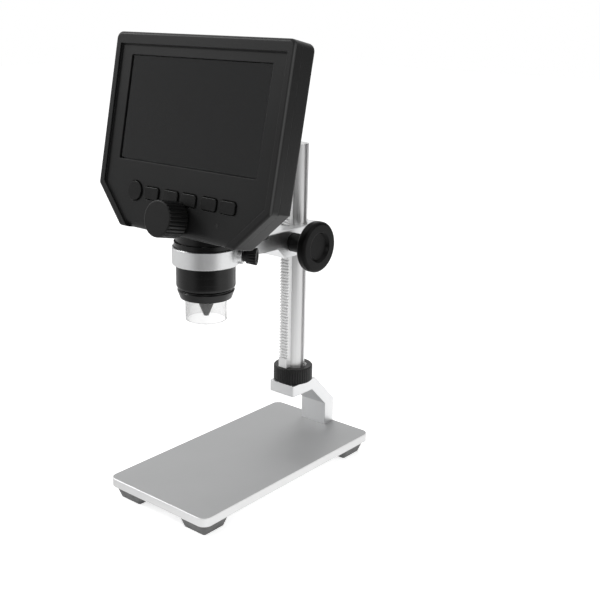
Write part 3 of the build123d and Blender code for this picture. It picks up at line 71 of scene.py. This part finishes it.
def soft_lamp(name, place, target, size, watts):
    """Square area lamp at a place, turned to face a target."""
    lamp_data = bpy.data.lights.new(name, "AREA")
    lamp_data.size = size
    lamp_data.energy = watts
    lamp = bpy.data.objects.new(name, lamp_data)
    bpy.context.scene.collection.objects.link(lamp)
    lamp.location = place
    lamp.rotation_euler = (Vector(target) - Vector(place)).to_track_quat("-Z", "Y").to_euler()
    return lamp


soft_lamp("left_lamp", (-1.15, -0.8, 1.1), target=(0, 0, 0.15), size=0.45, watts=9.5)
soft_lamp("right_lamp", (1.3, 0.5, 0.9), target=(0, 0, 0.12), size=0.8, watts=3)
edge_lamp = soft_lamp("edge_lamp", (0.85, -1.0, 0.5), target=(0, 0, 0.2), size=0.5, watts=2)
edge_lamp.visible_diffuse = False       # only lines the edges that face it

world = bpy.data.worlds.new("room")
bpy.context.scene.world = world
world.use_nodes = True
sky = world.node_tree
sky.nodes.clear()
sky_out = sky.nodes.new("ShaderNodeOutputWorld")
sky_way = sky.nodes.new("ShaderNodeTexCoord").outputs["Generated"]


def ramp(tree, source, between, level=(0.0, 1.0), course="LINEAR"):
    """Runs from one level to another as a number grows between two."""
    share = tree.nodes.new("ShaderNodeMapRange")
    share.interpolation_type = course
    share.inputs["From Min"].default_value = between[0]
    share.inputs["From Max"].default_value = between[1]
    share.inputs["To Min"].default_value = level[0]
    share.inputs["To Max"].default_value = level[1]
    tree.links.new(source, share.inputs["Value"])
    return share.outputs["Result"]


def along(tree, source, way):
    """How far a point lies, or a direction points, along a way."""
    reach = tree.nodes.new("ShaderNodeVectorMath")
    reach.operation = "DOT_PRODUCT"
    reach.inputs[1].default_value = way
    tree.links.new(source, reach.inputs[0])
    return reach.outputs["Value"]


def combine(tree, operation, first, second):
    """One number from two."""
    result = tree.nodes.new("ShaderNodeMath")
    result.operation = operation
    tree.links.new(first, result.inputs[0])
    tree.links.new(second, result.inputs[1])
    return result.outputs[0]


def choose(tree, share, first, second):
    """Mixes two shaders."""
    mix = tree.nodes.new("ShaderNodeMixShader")
    tree.links.new(share, mix.inputs["Fac"])
    tree.links.new(first, mix.inputs[1])
    tree.links.new(second, mix.inputs[2])
    return mix.outputs[0]


def by_ray(tree, lit, mirrored, seen):
    """One shader lights the object, one shows in gloss and clear pieces, and one to the eye."""
    path = tree.nodes.new("ShaderNodeLightPath")
    sent_on = combine(
        tree, "MAXIMUM", path.outputs["Is Glossy Ray"], path.outputs["Is Transmission Ray"]
    )
    lit_or_mirrored = choose(tree, sent_on, lit, mirrored)
    return choose(tree, path.outputs["Is Camera Ray"], lit_or_mirrored, seen)


def sky_layer(strength=0.0, changing=None):
    """White light from all round, of one strength or of one that changes from side to side."""
    layer = sky.nodes.new("ShaderNodeBackground")
    layer.inputs["Color"].default_value = (1, 1, 1, 1)
    layer.inputs["Strength"].default_value = strength
    if changing:
        sky.links.new(changing, layer.inputs["Strength"])
    return layer.outputs[0]


def room_towards(way, between, level):
    """The mirrored room's brightness, changing towards one of its sides."""
    return ramp(sky, along(sky, sky_way, way), between, level, "SMOOTHSTEP")


room_light = 0.48            # what lights the object
white_wall = 1.0             # the wall behind, to the eye and in reflections
dim_wall = 0.5
dim_corner = 0.3
in_front = (0, -1, 0)
camera_side = (0.68, -0.73, 0)
far_right = (0.64, 0.76, 0.1)

front_room = room_towards(in_front, between=(0.1, 0.7), level=(white_wall, dim_wall))
camera_room = room_towards(camera_side, between=(0.3, 0.95), level=(white_wall, dim_wall))
right_room = room_towards(far_right, between=(0.55, 0.95), level=(white_wall, dim_corner))
dimmed_room = combine(sky, "MULTIPLY", front_room, camera_room)
dimmed_room = combine(sky, "MULTIPLY", dimmed_room, right_room)
whole_sky = by_ray(
    sky,
    lit=sky_layer(room_light),
    mirrored=sky_layer(changing=dimmed_room),
    seen=sky_layer(white_wall),
)
sky.links.new(whole_sky, sky_out.inputs["Surface"])

bpy.ops.object.select_all(action="DESELECT")
bpy.ops.mesh.primitive_plane_add(size=6)
floor = bpy.context.object
floor.name = "floor"
floor_material = bpy.data.materials.new("pale_sweep")
floor_material.use_nodes = True
sweep = floor_material.node_tree
sweep.nodes.clear()
sweep_out = sweep.nodes.new("ShaderNodeOutputMaterial")
sweep_spot = sweep.nodes.new("ShaderNodeTexCoord").outputs["Object"]


def floor_layer(tone, strength=0.0, changing=None):
    """The floor's paint with a glow, which may change from place to place."""
    paint = sweep.nodes.new("ShaderNodeBsdfDiffuse")
    paint.inputs["Color"].default_value = (tone, tone, tone, 1)
    glow = sweep.nodes.new("ShaderNodeEmission")
    glow.inputs["Color"].default_value = (1, 1, 1, 1)
    glow.inputs["Strength"].default_value = strength
    if changing:
        sweep.links.new(changing, glow.inputs["Strength"])
    both = sweep.nodes.new("ShaderNodeAddShader")
    sweep.links.new(paint.outputs[0], both.inputs[0])
    sweep.links.new(glow.outputs[0], both.inputs[1])
    return both.outputs[0]


floor_away = sweep.nodes.new("ShaderNodeVectorMath")
floor_away.operation = "LENGTH"
sweep.links.new(sweep_spot, floor_away.inputs[0])
floor_way = sweep.nodes.new("ShaderNodeVectorMath")
floor_way.operation = "NORMALIZE"
sweep.links.new(sweep_spot, floor_way.inputs[0])


def floor_towards(way, between, away):
    """A share that is 1 on one side of the floor, out from a distance on."""
    turned = along(sweep, floor_way.outputs["Vector"], way)
    turned_share = ramp(sweep, turned, between, course="SMOOTHSTEP")
    away_share = ramp(sweep, floor_away.outputs["Value"], away, course="SMOOTHSTEP")
    return combine(sweep, "MULTIPLY", turned_share, away_share)


floor_paint = 0.93
dimmed_paint = 0.15
floor_glow_seen = 0.65       # keeps the floor white to the eye out to its edge
floor_glow_mirrored = (0.05, 0.7)
back_right = (0.7, 0.7, 0)

camera_share = floor_towards(camera_side, between=(0.62, 0.97), away=(0.2, 0.5))
right_share = floor_towards(far_right, between=(0.2, 0.7), away=(0.8, 1.5))
dim_share = combine(sweep, "MAXIMUM", camera_share, right_share)
near_glow = ramp(
    sweep,
    along(sweep, sweep_spot, back_right),
    between=(-0.16, 0.04),
    level=floor_glow_mirrored,
    course="SMOOTHSTEP",
)
whole_floor = by_ray(
    sweep,
    lit=floor_layer(floor_paint),
    mirrored=choose(
        sweep, dim_share, floor_layer(floor_paint, changing=near_glow), floor_layer(dimmed_paint)
    ),
    seen=floor_layer(floor_paint, floor_glow_seen),
)
sweep.links.new(whole_floor, sweep_out.inputs["Surface"])
floor.data.materials.append(floor_material)

# ---------------------------------------------------------------- base plate
# A flat plate of 5 mm aluminium, blasted on its faces and clear anodised.
# Its milled edge is left smoother, and its upright faces are painted much paler than the fine
# even grain of the top: a painted highlight for the white table they mirror.


def plain_finish(name, colour, roughness, metallic=0.0, shine=0.5):
    """New material with one shader; shine is its specular level."""
    material = bpy.data.materials.new(name)
    material.use_nodes = True
    shader = material.node_tree.nodes["Principled BSDF"]
    shader.inputs["Base Color"].default_value = (*colour, 1)
    shader.inputs["Roughness"].default_value = roughness
    shader.inputs["Metallic"].default_value = metallic
    shader.inputs["Specular IOR Level"].default_value = shine
    return material


def speckle(material, scale, stretch=(1, 1, 1), detail=3.0):
    """Noise over the piece's own coordinates, stretched along an axis for drawn lines."""
    tree = material.node_tree
    place = tree.nodes.new("ShaderNodeTexCoord")
    mapping = tree.nodes.new("ShaderNodeMapping")
    mapping.inputs["Scale"].default_value = stretch
    noise = tree.nodes.new("ShaderNodeTexNoise")
    noise.inputs["Scale"].default_value = scale
    noise.inputs["Detail"].default_value = detail
    tree.links.new(place.outputs["Object"], mapping.inputs["Vector"])
    tree.links.new(mapping.outputs["Vector"], noise.inputs["Vector"])
    return noise


noise_span = (0.3, 0.7)      # nearly all of a noise's values lie between these


def uneven_gloss(material, noise, low, high):
    """Lets the roughness wander between two values."""
    tree = material.node_tree
    spread = ramp(tree, noise.outputs["Fac"], noise_span, (low, high))
    tree.links.new(spread, tree.nodes["Principled BSDF"].inputs["Roughness"])


def two_tones(material, noise, dark, light):
    """Lets the colour wander between two tones."""
    tree = material.node_tree
    tones = tree.nodes.new("ShaderNodeValToRGB")
    for element, position, tone in zip(tones.color_ramp.elements, noise_span, (dark, light)):
        element.position = position
        element.color = (*tone, 1)
    tree.links.new(noise.outputs["Fac"], tones.inputs["Fac"])
    tree.links.new(tones.outputs["Color"], tree.nodes["Principled BSDF"].inputs["Base Color"])


def paint_over(material, share, colour):
    """Lays another colour over a finish's tones where a share is 1."""
    tree = material.node_tree
    base_colour = tree.nodes["Principled BSDF"].inputs["Base Color"]
    tones = base_colour.links[0].from_socket
    blend = tree.nodes.new("ShaderNodeMix")
    blend.data_type = "RGBA"
    blend.inputs["B"].default_value = (*colour, 1)
    tree.links.new(share, blend.inputs["Factor"])
    tree.links.new(tones, blend.inputs["A"])
    tree.links.new(blend.outputs["Result"], base_colour)


def soft_relief(material, noise, depth, edge=0.0, strength=1.0):
    """Bump from a noise; edge is the radius that the shading rounds sharp edges by."""
    tree = material.node_tree
    bump = tree.nodes.new("ShaderNodeBump")
    bump.inputs["Strength"].default_value = strength
    bump.inputs["Distance"].default_value = depth
    tree.links.new(noise.outputs["Fac"], bump.inputs["Height"])
    if edge:
        rounding = tree.nodes.new("ShaderNodeBevel")
        rounding.samples = 6
        rounding.inputs["Radius"].default_value = edge
        tree.links.new(rounding.outputs["Normal"], bump.inputs["Normal"])
    tree.links.new(bump.outputs["Normal"], tree.nodes["Principled BSDF"].inputs["Normal"])


def dress(material, *nodes):
    """Gives CAD nodes this material."""
    for node in nodes:
        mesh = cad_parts[node].data
        mesh.materials.clear()
        mesh.materials.append(material)


def grey(tone, warmth=0.0):
    """Neutral colour of one tone, a little blue where warmth is negative."""
    return (tone * (1 + warmth), tone, tone * (1 - warmth))


def blasted_aluminium(name, tone, roughness):
    """Blasted and anodised aluminium: fine even grain, faint cloudiness."""
    material = plain_finish(name, grey(tone), roughness, metallic=1.0)
    clouds = speckle(material, 28, detail=4)
    two_tones(material, clouds, grey(tone * 0.96, -0.006), grey(tone * 1.03, -0.006))
    uneven_gloss(material, clouds, roughness - 0.03, roughness + 0.04)
    grain = speckle(material, 5200, detail=2)
    soft_relief(material, grain, 0.00006, edge=0.00025, strength=0.55)
    return material


def size_along(tree, source, way):
    """The same as along, whichever way round."""
    size = tree.nodes.new("ShaderNodeMath")
    size.operation = "ABSOLUTE"
    tree.links.new(along(tree, source, way), size.inputs[0])
    return size.outputs[0]


def upright_painted_highlight(material, edge_highlight_tone):
    """Paints faces that stand upright paler than flat ones: milled faces, with a painted
    highlight for the bright table they mirror.
    """
    tree = material.node_tree
    place = tree.nodes.new("ShaderNodeTexCoord")
    flatness = size_along(tree, place.outputs["Normal"], (0, 0, 1))
    upright = ramp(tree, flatness, between=(0.85, 0.95), level=(1.0, 0.0))
    paint_over(material, upright, edge_highlight_tone)


plate_finish = blasted_aluminium("blasted_plate", tone=0.47, roughness=0.56)
# painted highlight: the plate's upright faces get a much paler tone than its top
upright_painted_highlight(plate_finish, grey(0.80))
dress(plate_finish, "base_plate")

# ---------------------------------------------------------------- feet
# Four square bumpers moulded in soft grey rubber, narrower at the table.
# They are stuck on, and pick up a little dust.

foot_finish = plain_finish("foot_rubber", grey(0.2), 0.7, shine=0.3)
foot_dust = speckle(foot_finish, 220, detail=5)
two_tones(foot_finish, foot_dust, grey(0.20), grey(0.28))
soft_relief(foot_finish, speckle(foot_finish, 3000), 0.00008, edge=0.0004, strength=0.6)
dress(foot_finish, "rubber_feet")

# ---------------------------------------------------------------- cranked bracket
# Cut from thick bar, with its faces milled and anodised brighter than the plate.
# Its screws come up through the base, and one bolt goes up into the column.

bracket_finish = blasted_aluminium("milled_bracket", tone=0.76, roughness=0.4)
dress(bracket_finish, "stand_bracket", "threaded_socket")

screw_finish = plain_finish("plated_screw", grey(0.36), 0.34, metallic=1.0)
uneven_gloss(screw_finish, speckle(screw_finish, 900), 0.26, 0.44)
dress(screw_finish, "bracket_screws", "column_bolt")

# ---------------------------------------------------------------- column and rack
# A drawn aluminium bar with a groove down each side, and a steel rack let into its front.
# Drawing leaves faint lines along the bar; the rack's teeth are milled and left bright.

column_finish = plain_finish("drawn_bar", grey(0.66), 0.4, metallic=1.0)
column_lines = speckle(column_finish, 900, stretch=(1, 1, 0.012), detail=4)
two_tones(column_finish, column_lines, grey(0.61), grey(0.71))
uneven_gloss(column_finish, column_lines, 0.35, 0.45)
soft_relief(column_finish, column_lines, 0.00004, edge=0.0001, strength=0.5)
dress(column_finish, "column")

rack_finish = plain_finish("milled_rack", grey(0.84), 0.5, metallic=1.0)
rack_marks = speckle(rack_finish, 1400, stretch=(0.06, 1, 1), detail=4)
uneven_gloss(rack_finish, rack_marks, 0.44, 0.56)
soft_relief(rack_finish, rack_marks, 0.00004, edge=0.00012, strength=0.5)
dress(rack_finish, "gear_rack")

# ---------------------------------------------------------------- lock ring
# A black moulded nut with a finely fluted grip, screwed over the socket at the column's foot.
# A bright threaded insert shows inside its top lip.


def moulded_plastic(name, tone, shine, gloss, patches, depth, edge=0.0, detail=3.0):
    """Grained plastic; gloss is the span of its roughness, which changes patch by patch."""
    material = plain_finish(name, grey(tone), sum(gloss) / 2, shine=shine)
    uneven_gloss(material, speckle(material, patches, detail=detail), *gloss)
    soft_relief(material, speckle(material, 2600), depth, edge, strength=0.5)
    return material


grip_finish = moulded_plastic(
    "grip_plastic",
    tone=0.012,
    shine=0.3,
    gloss=(0.36, 0.5),
    patches=700,
    depth=0.00005,
    edge=0.0002,
)
dress(grip_finish, "lock_ring_nut")


def select_only(*pieces):
    """Selects these pieces alone, the first one active."""
    bpy.ops.object.select_all(action="DESELECT")
    for piece in pieces:
        piece.select_set(True)
    if pieces:
        bpy.context.view_layer.objects.active = pieces[0]


def another(piece):
    """The same piece again, with its own mesh."""
    twin = piece.copy()
    twin.data = piece.data.copy()
    bpy.context.scene.collection.objects.link(twin)
    return twin


def joined(pieces):
    """Makes one piece of several."""
    select_only(*pieces)
    bpy.ops.object.join()
    return bpy.context.object


def settle(piece, name, body, material):
    """Names a finished piece, fixes its place in its mesh, and rides it on a body."""
    select_only(piece)
    bpy.ops.object.transform_apply(location=True, rotation=True, scale=True)
    piece.name = name
    piece.data.materials.clear()
    piece.data.materials.append(material)
    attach(piece, body)


column_spot = (0, 0.044)
thread_foot = 0.0559
thread_pitch = 0.00055
thread_turns = 4

select_only()
bpy.ops.mesh.primitive_torus_add(
    location=(*column_spot, thread_foot),
    major_segments=72,
    minor_segments=8,
    major_radius=0.00832,
    minor_radius=0.00024,
)
thread = [bpy.context.object]
for turn in range(1, thread_turns):
    thread.append(another(thread[0]))
    thread[turn].location.z = thread_foot + turn * thread_pitch
insert = joined(thread)
bpy.ops.object.shade_smooth()
thread_finish = plain_finish("bright_thread", grey(0.82), 0.2, metallic=1.0)
uneven_gloss(thread_finish, speckle(thread_finish, 900), 0.14, 0.3)
settle(insert, "lock_ring_insert", "lock_ring", thread_finish)

# ---------------------------------------------------------------- arm and holder ring
# Both are milled from aluminium bar, then blasted finer than the base and anodised.
# One screw joins them. Nylon keys guide the arm on the column, and a screw sets its drag.

arm_finish = blasted_aluminium("fine_blasted_arm", tone=0.74, roughness=0.34)
dress(arm_finish, "carriage_arm", "holder_ring")
dress(screw_finish, "ring_screw", "tension_screw")

nylon_finish = plain_finish("natural_nylon", (0.78, 0.77, 0.70), 0.45)
soft_relief(nylon_finish, speckle(nylon_finish, 1800), 0.00003)
dress(nylon_finish, "guide_keys", "tension_pad")

# ---------------------------------------------------------------- height knobs
# Two smooth black moulded knobs on the pinion shaft, with rounded rims and dished faces.
# The steel shaft turns in black bushes in the arm, and its brass pinion climbs the rack.

knob_finish = plain_finish("knob_plastic", grey(0.004), 0.3, shine=0.1)
knob_wear = speckle(knob_finish, 160, detail=5)
two_tones(knob_finish, knob_wear, grey(0.003), grey(0.005))
uneven_gloss(knob_finish, knob_wear, 0.3, 0.42)
soft_relief(knob_finish, speckle(knob_finish, 3200), 0.00004, edge=0.0004, strength=0.5)
dress(knob_finish, "left_height_knob", "right_height_knob", "pinion_bushes")
dress(rack_finish, "pinion_shaft")

brass_finish = plain_finish("turned_brass", (0.72, 0.52, 0.24), 0.26, metallic=1.0)
uneven_gloss(brass_finish, speckle(brass_finish, 1500), 0.2, 0.36)
dress(brass_finish, "pinion")

# ---------------------------------------------------------------- thumb screw
# A flared and fluted black head moulded on a blackened steel screw.
# Its tip clamps the barrel in the ring.

dress(grip_finish, "thumb_screw_head")

shank_finish = plain_finish("blackened_steel", grey(0.06), 0.36, metallic=1.0)
uneven_gloss(shank_finish, speckle(shank_finish, 1200), 0.3, 0.45)
dress(shank_finish, "thumb_screw_shank")

# ---------------------------------------------------------------- screen unit
# Two black mouldings with a fine spark-eroded grain, screwed together from behind.
# The grain takes a dull sheen along the rim and the rounded lower edge.

lean = radians(12.07)
screen_middle = Vector((0, -0.04412, 0.21913))
screen_out = Vector((0, -cos(lean), sin(lean)))
shell_half_width = 0.063
highlight_fade_depth = (0.0013, 0.0006)     # the painted highlight fades in this far from a corner

shell_finish = plain_finish("shell_plastic", grey(0.011), 0.4, shine=0.25)
shell_clouds = speckle(shell_finish, 18, detail=3)
two_tones(shell_finish, shell_clouds, grey(0.0102, -0.01), grey(0.0122, -0.01))
uneven_gloss(shell_finish, shell_clouds, 0.37, 0.44)
soft_relief(
    shell_finish, speckle(shell_finish, 2400, detail=2), 0.00006, edge=0.0005, strength=0.5
)


def corner_painted_highlight(material, corner_highlight_tone):
    """Paints a paler tone down the two front corner edges, a painted highlight along them."""
    tree = material.node_tree
    spot = tree.nodes.new("ShaderNodeTexCoord").outputs["Object"]
    sideways = size_along(tree, spot, (1, 0, 0))
    forward = along(tree, spot, screen_out)
    front = screen_middle.dot(screen_out)
    by_side = ramp(tree, sideways, [shell_half_width - depth for depth in highlight_fade_depth])
    by_front = ramp(tree, forward, [front - depth for depth in highlight_fade_depth])
    paint_over(material, combine(tree, "MULTIPLY", by_side, by_front), corner_highlight_tone)


# painted highlight: a paler tone down the shell's two front corner edges
corner_painted_highlight(shell_finish, grey(0.075))
dress(shell_finish, "front_shell", "rear_shell", "battery_door")
dress(screw_finish, "case_screws", "door_screw")

# ---------------------------------------------------------------- display
# A liquid crystal panel behind a smoked window that is let into the shell from inside. Off,
# its picture area is a shade lighter than the black border round it. The window's raised
# middle fills the shell's opening but for a dark gap, widest below it.


def smoked_plastic(name, roughness, cover):
    """Clear plastic smoked black; cover is how much of what lies behind is hidden."""
    material = plain_finish(name, grey(0.012, -0.03), roughness)
    material.node_tree.nodes["Principled BSDF"].inputs["Alpha"].default_value = cover
    uneven_gloss(material, speckle(material, 60), roughness - 0.02, roughness + 0.02)
    return material


glass_finish = smoked_plastic("window_glass", roughness=0.08, cover=0.6)
dress(glass_finish, "screen_glass")

panel_finish = plain_finish("display_border", grey(0.012, -0.03), 0.4, shine=0.3)
uneven_gloss(panel_finish, speckle(panel_finish, 300), 0.36, 0.46)
dress(panel_finish, "lcd_module")

screen_up = Vector((0, sin(lean), cos(lean)))


def slab_block(across, up, depth, rounding):
    """Leaning block with rounded edges: across, up and behind the front of the shell's rim."""
    middle = screen_middle + Vector((sum(across) / 2, 0, 0))
    middle += sum(up) / 2 * screen_up - sum(depth) / 2 * screen_out
    select_only()
    bpy.ops.mesh.primitive_cube_add(size=1, location=middle, rotation=(pi / 2 - lean, 0, 0))
    block = bpy.context.object
    block.scale = (across[1] - across[0], up[1] - up[0], depth[1] - depth[0])
    bpy.ops.object.transform_apply(location=False, rotation=False, scale=True)
    bpy.ops.object.mode_set(mode="EDIT")
    bpy.ops.mesh.select_all(action="SELECT")
    bpy.ops.mesh.bevel(offset=rounding, segments=2, affect="EDGES")
    bpy.ops.object.mode_set(mode="OBJECT")
    return block


pane = slab_block(
    across=(-0.0493, 0.0498), up=(-0.0271, 0.0278), depth=(0.0022, 0.0034), rounding=0.0001
)
pane_finish = smoked_plastic("window_face", roughness=0.1, cover=0.85)
settle(pane, "window_pane", "head", pane_finish)

picture = slab_block(
    across=(-0.0477, 0.0477), up=(-0.02695, 0.02695), depth=(0.00436, 0.0044), rounding=0.000008
)
picture_finish = plain_finish("picture_area", grey(0.018, -0.05), 0.35, shine=0.3)
picture_film = speckle(picture_finish, 30, detail=3)
two_tones(picture_finish, picture_film, grey(0.0165, -0.05), grey(0.0195, -0.05))
settle(picture, "picture_area", "head", picture_finish)

# ---------------------------------------------------------------- boards and sockets
# Green boards with black parts, plated sockets, and a wrapped flat cell, all inside the shells.
# Only the socket mouths and the door's screw are seen from outside.

board_finish = plain_finish("board_mask", (0.02, 0.16, 0.06), 0.35)
board_tracks = speckle(board_finish, 500, detail=1)
two_tones(board_finish, board_tracks, (0.015, 0.12, 0.045), (0.03, 0.22, 0.08))
dress(board_finish, "main_board", "key_board")
dress(screw_finish, "board_screws")

part_finish = plain_finish("component_black", grey(0.02), 0.5)
soft_relief(part_finish, speckle(part_finish, 1500), 0.00003)
dress(part_finish, "key_switches", "light_control")

socket_finish = plain_finish("plated_socket", grey(0.66), 0.28, metallic=1.0)
uneven_gloss(socket_finish, speckle(socket_finish, 500), 0.22, 0.36)
dress(socket_finish, "usb_socket", "card_socket")

gold_finish = plain_finish("gold_contacts", (0.83, 0.62, 0.26), 0.25, metallic=1.0)
uneven_gloss(gold_finish, speckle(gold_finish, 900), 0.2, 0.34)


def contact_row(name, count, pitch, lowest, width, across, depth):
    """A row of like gold contacts, one above the other, inside a socket."""
    strips = [slab_block(across, (lowest, lowest + width), depth, rounding=0.00004)]
    for place in range(1, count):
        strips.append(another(strips[0]))
        strips[place].location += place * pitch * screen_up
    settle(joined(strips), name, "head", gold_finish)


usb_tongue = slab_block(
    across=(-0.0619, -0.0542), up=(0.0011, 0.0069), depth=(0.0113, 0.0119), rounding=0.00012
)
settle(usb_tongue, "usb_tongue", "head", part_finish)
contact_row(
    "usb_tongue_contacts",
    count=5,
    pitch=0.00098,
    lowest=0.00185,
    width=0.0004,
    across=(-0.0615, -0.0546),
    depth=(0.01188, 0.01198),
)

card_insert = slab_block(
    across=(-0.0560, -0.0484), up=(0.0157, 0.0283), depth=(0.0102, 0.0108), rounding=0.0001
)
settle(card_insert, "card_insert", "head", part_finish)
contact_row(
    "card_insert_contacts",
    count=8,
    pitch=0.00152,
    lowest=0.0166,
    width=0.0006,
    across=(-0.0598, -0.0500),
    depth=(0.01076, 0.01090),
)

cell_finish = plain_finish("cell_wrap", (0.05, 0.12, 0.32), 0.3)
soft_relief(cell_finish, speckle(cell_finish, 160), 0.0001)
dress(cell_finish, "battery")

# ---------------------------------------------------------------- keys, lamp and light wheel
# Six smooth black keys that stand a millimetre proud of the panel, and one small lamp.
# The keys are shinier than the panel round them. A fluted wheel in the side dims the lamps.

key_finish = moulded_plastic(
    "key_plastic", tone=0.008, shine=0.22, gloss=(0.3, 0.42), patches=260, depth=0.00003, detail=4
)
dress(key_finish, "power_button", "key_1", "key_2", "key_3", "key_4", "key_5")

lamp_finish = plain_finish("lamp_lens", grey(0.012), 0.2)
soft_relief(lamp_finish, speckle(lamp_finish, 900), 0.00002)
dress(lamp_finish, "charge_lamp")
dress(knob_finish, "light_wheel")

# ---------------------------------------------------------------- front focus knob
# A tall black moulded knob with straight flutes and a flat face. It sits on a steel spindle
# in a nylon bush, and a small brass pinion on the spindle moves the lens.

focus_finish = moulded_plastic(
    "focus_knob_plastic",
    tone=0.010,
    shine=0.24,
    gloss=(0.36, 0.46),
    patches=400,
    depth=0.00005,
    edge=0.0003,
)
dress(focus_finish, "front_focus_knob")
dress(rack_finish, "focus_spindle")
dress(nylon_finish, "focus_bush")
dress(brass_finish, "focus_pinion")

# ---------------------------------------------------------------- barrel and nose
# A black moulded tube with a polished look, held in the clamp ring, with a grooved nose.
# The clear cap pushes into the nose; a dark cone inside it shields the lens from the lamps.
# Eight small lamps with domed lenses stand in a circle round the lens.

barrel_finish = plain_finish("barrel_plastic", grey(0.004), 0.24, shine=0.3)
barrel_rings = speckle(barrel_finish, 900, stretch=(0.05, 0.05, 1), detail=3)
uneven_gloss(barrel_finish, barrel_rings, 0.2, 0.28)
soft_relief(barrel_finish, barrel_rings, 0.000003, edge=0.0003, strength=0.3)
dress(barrel_finish, "barrel_housing", "barrel_nose", "lens_carrier")
dress(screw_finish, "barrel_screws")
dress(board_finish, "light_board", "sensor_board")
dress(part_finish, "image_sensor")

snout_finish = moulded_plastic(
    "snout_plastic", tone=0.2, shine=0.4, gloss=(0.46, 0.56), patches=600, depth=0.00004
)
dress(snout_finish, "lens_snout")

cap_finish = plain_finish("clear_acrylic", grey(0.84), 0.1)
cap_sockets = cap_finish.node_tree.nodes["Principled BSDF"].inputs
cap_sockets["Transmission Weight"].default_value = 1.0
cap_sockets["IOR"].default_value = 1.49
uneven_gloss(cap_finish, speckle(cap_finish, 120), 0.08, 0.14)
dress(cap_finish, "clear_cap")

lens_finish = plain_finish("coated_lens", (0.85, 0.88, 0.95), 0.03)
lens_sockets = lens_finish.node_tree.nodes["Principled BSDF"].inputs
lens_sockets["Transmission Weight"].default_value = 1.0
uneven_gloss(lens_finish, speckle(lens_finish, 90), 0.02, 0.05)
dress(lens_finish, "objective_lens")

led_finish = plain_finish("led_body", (0.85, 0.83, 0.62), 0.3)
soft_relief(led_finish, speckle(led_finish, 1200), 0.00002)
dress(led_finish, "light_leds")

lamp_circle_middle = Vector((0, -0.033, 0.1199))
lamp_circle_radius = 0.0088
lamp_count = 8
dome_radius = 0.0009
dome_seat = 0.00005          # a hair inside the lamp's flat underside

select_only()
first_dome = lamp_circle_middle + Vector((lamp_circle_radius, 0, 0))
bpy.ops.mesh.primitive_uv_sphere_add(
    segments=20, ring_count=12, radius=dome_radius, location=first_dome
)
led_domes = [bpy.context.object]
bpy.ops.object.mode_set(mode="EDIT")
bpy.ops.mesh.select_all(action="SELECT")
bpy.ops.mesh.bisect(
    plane_co=first_dome + Vector((0, 0, dome_seat)),
    plane_no=(0, 0, 1),
    clear_outer=True,
    use_fill=True,
)
bpy.ops.object.mode_set(mode="OBJECT")
bpy.ops.object.shade_smooth_by_angle(angle=radians(40))
for place in range(1, lamp_count):
    turn = place * 2 * pi / lamp_count
    outward = Vector((cos(turn), sin(turn), 0))
    led_domes.append(another(led_domes[0]))
    led_domes[place].location = lamp_circle_middle + lamp_circle_radius * outward
dome_finish = plain_finish("led_dome", (0.90, 0.88, 0.78), 0.12)
uneven_gloss(dome_finish, speckle(dome_finish, 700), 0.08, 0.18)
settle(joined(led_domes), "led_domes", "head", dome_finish)
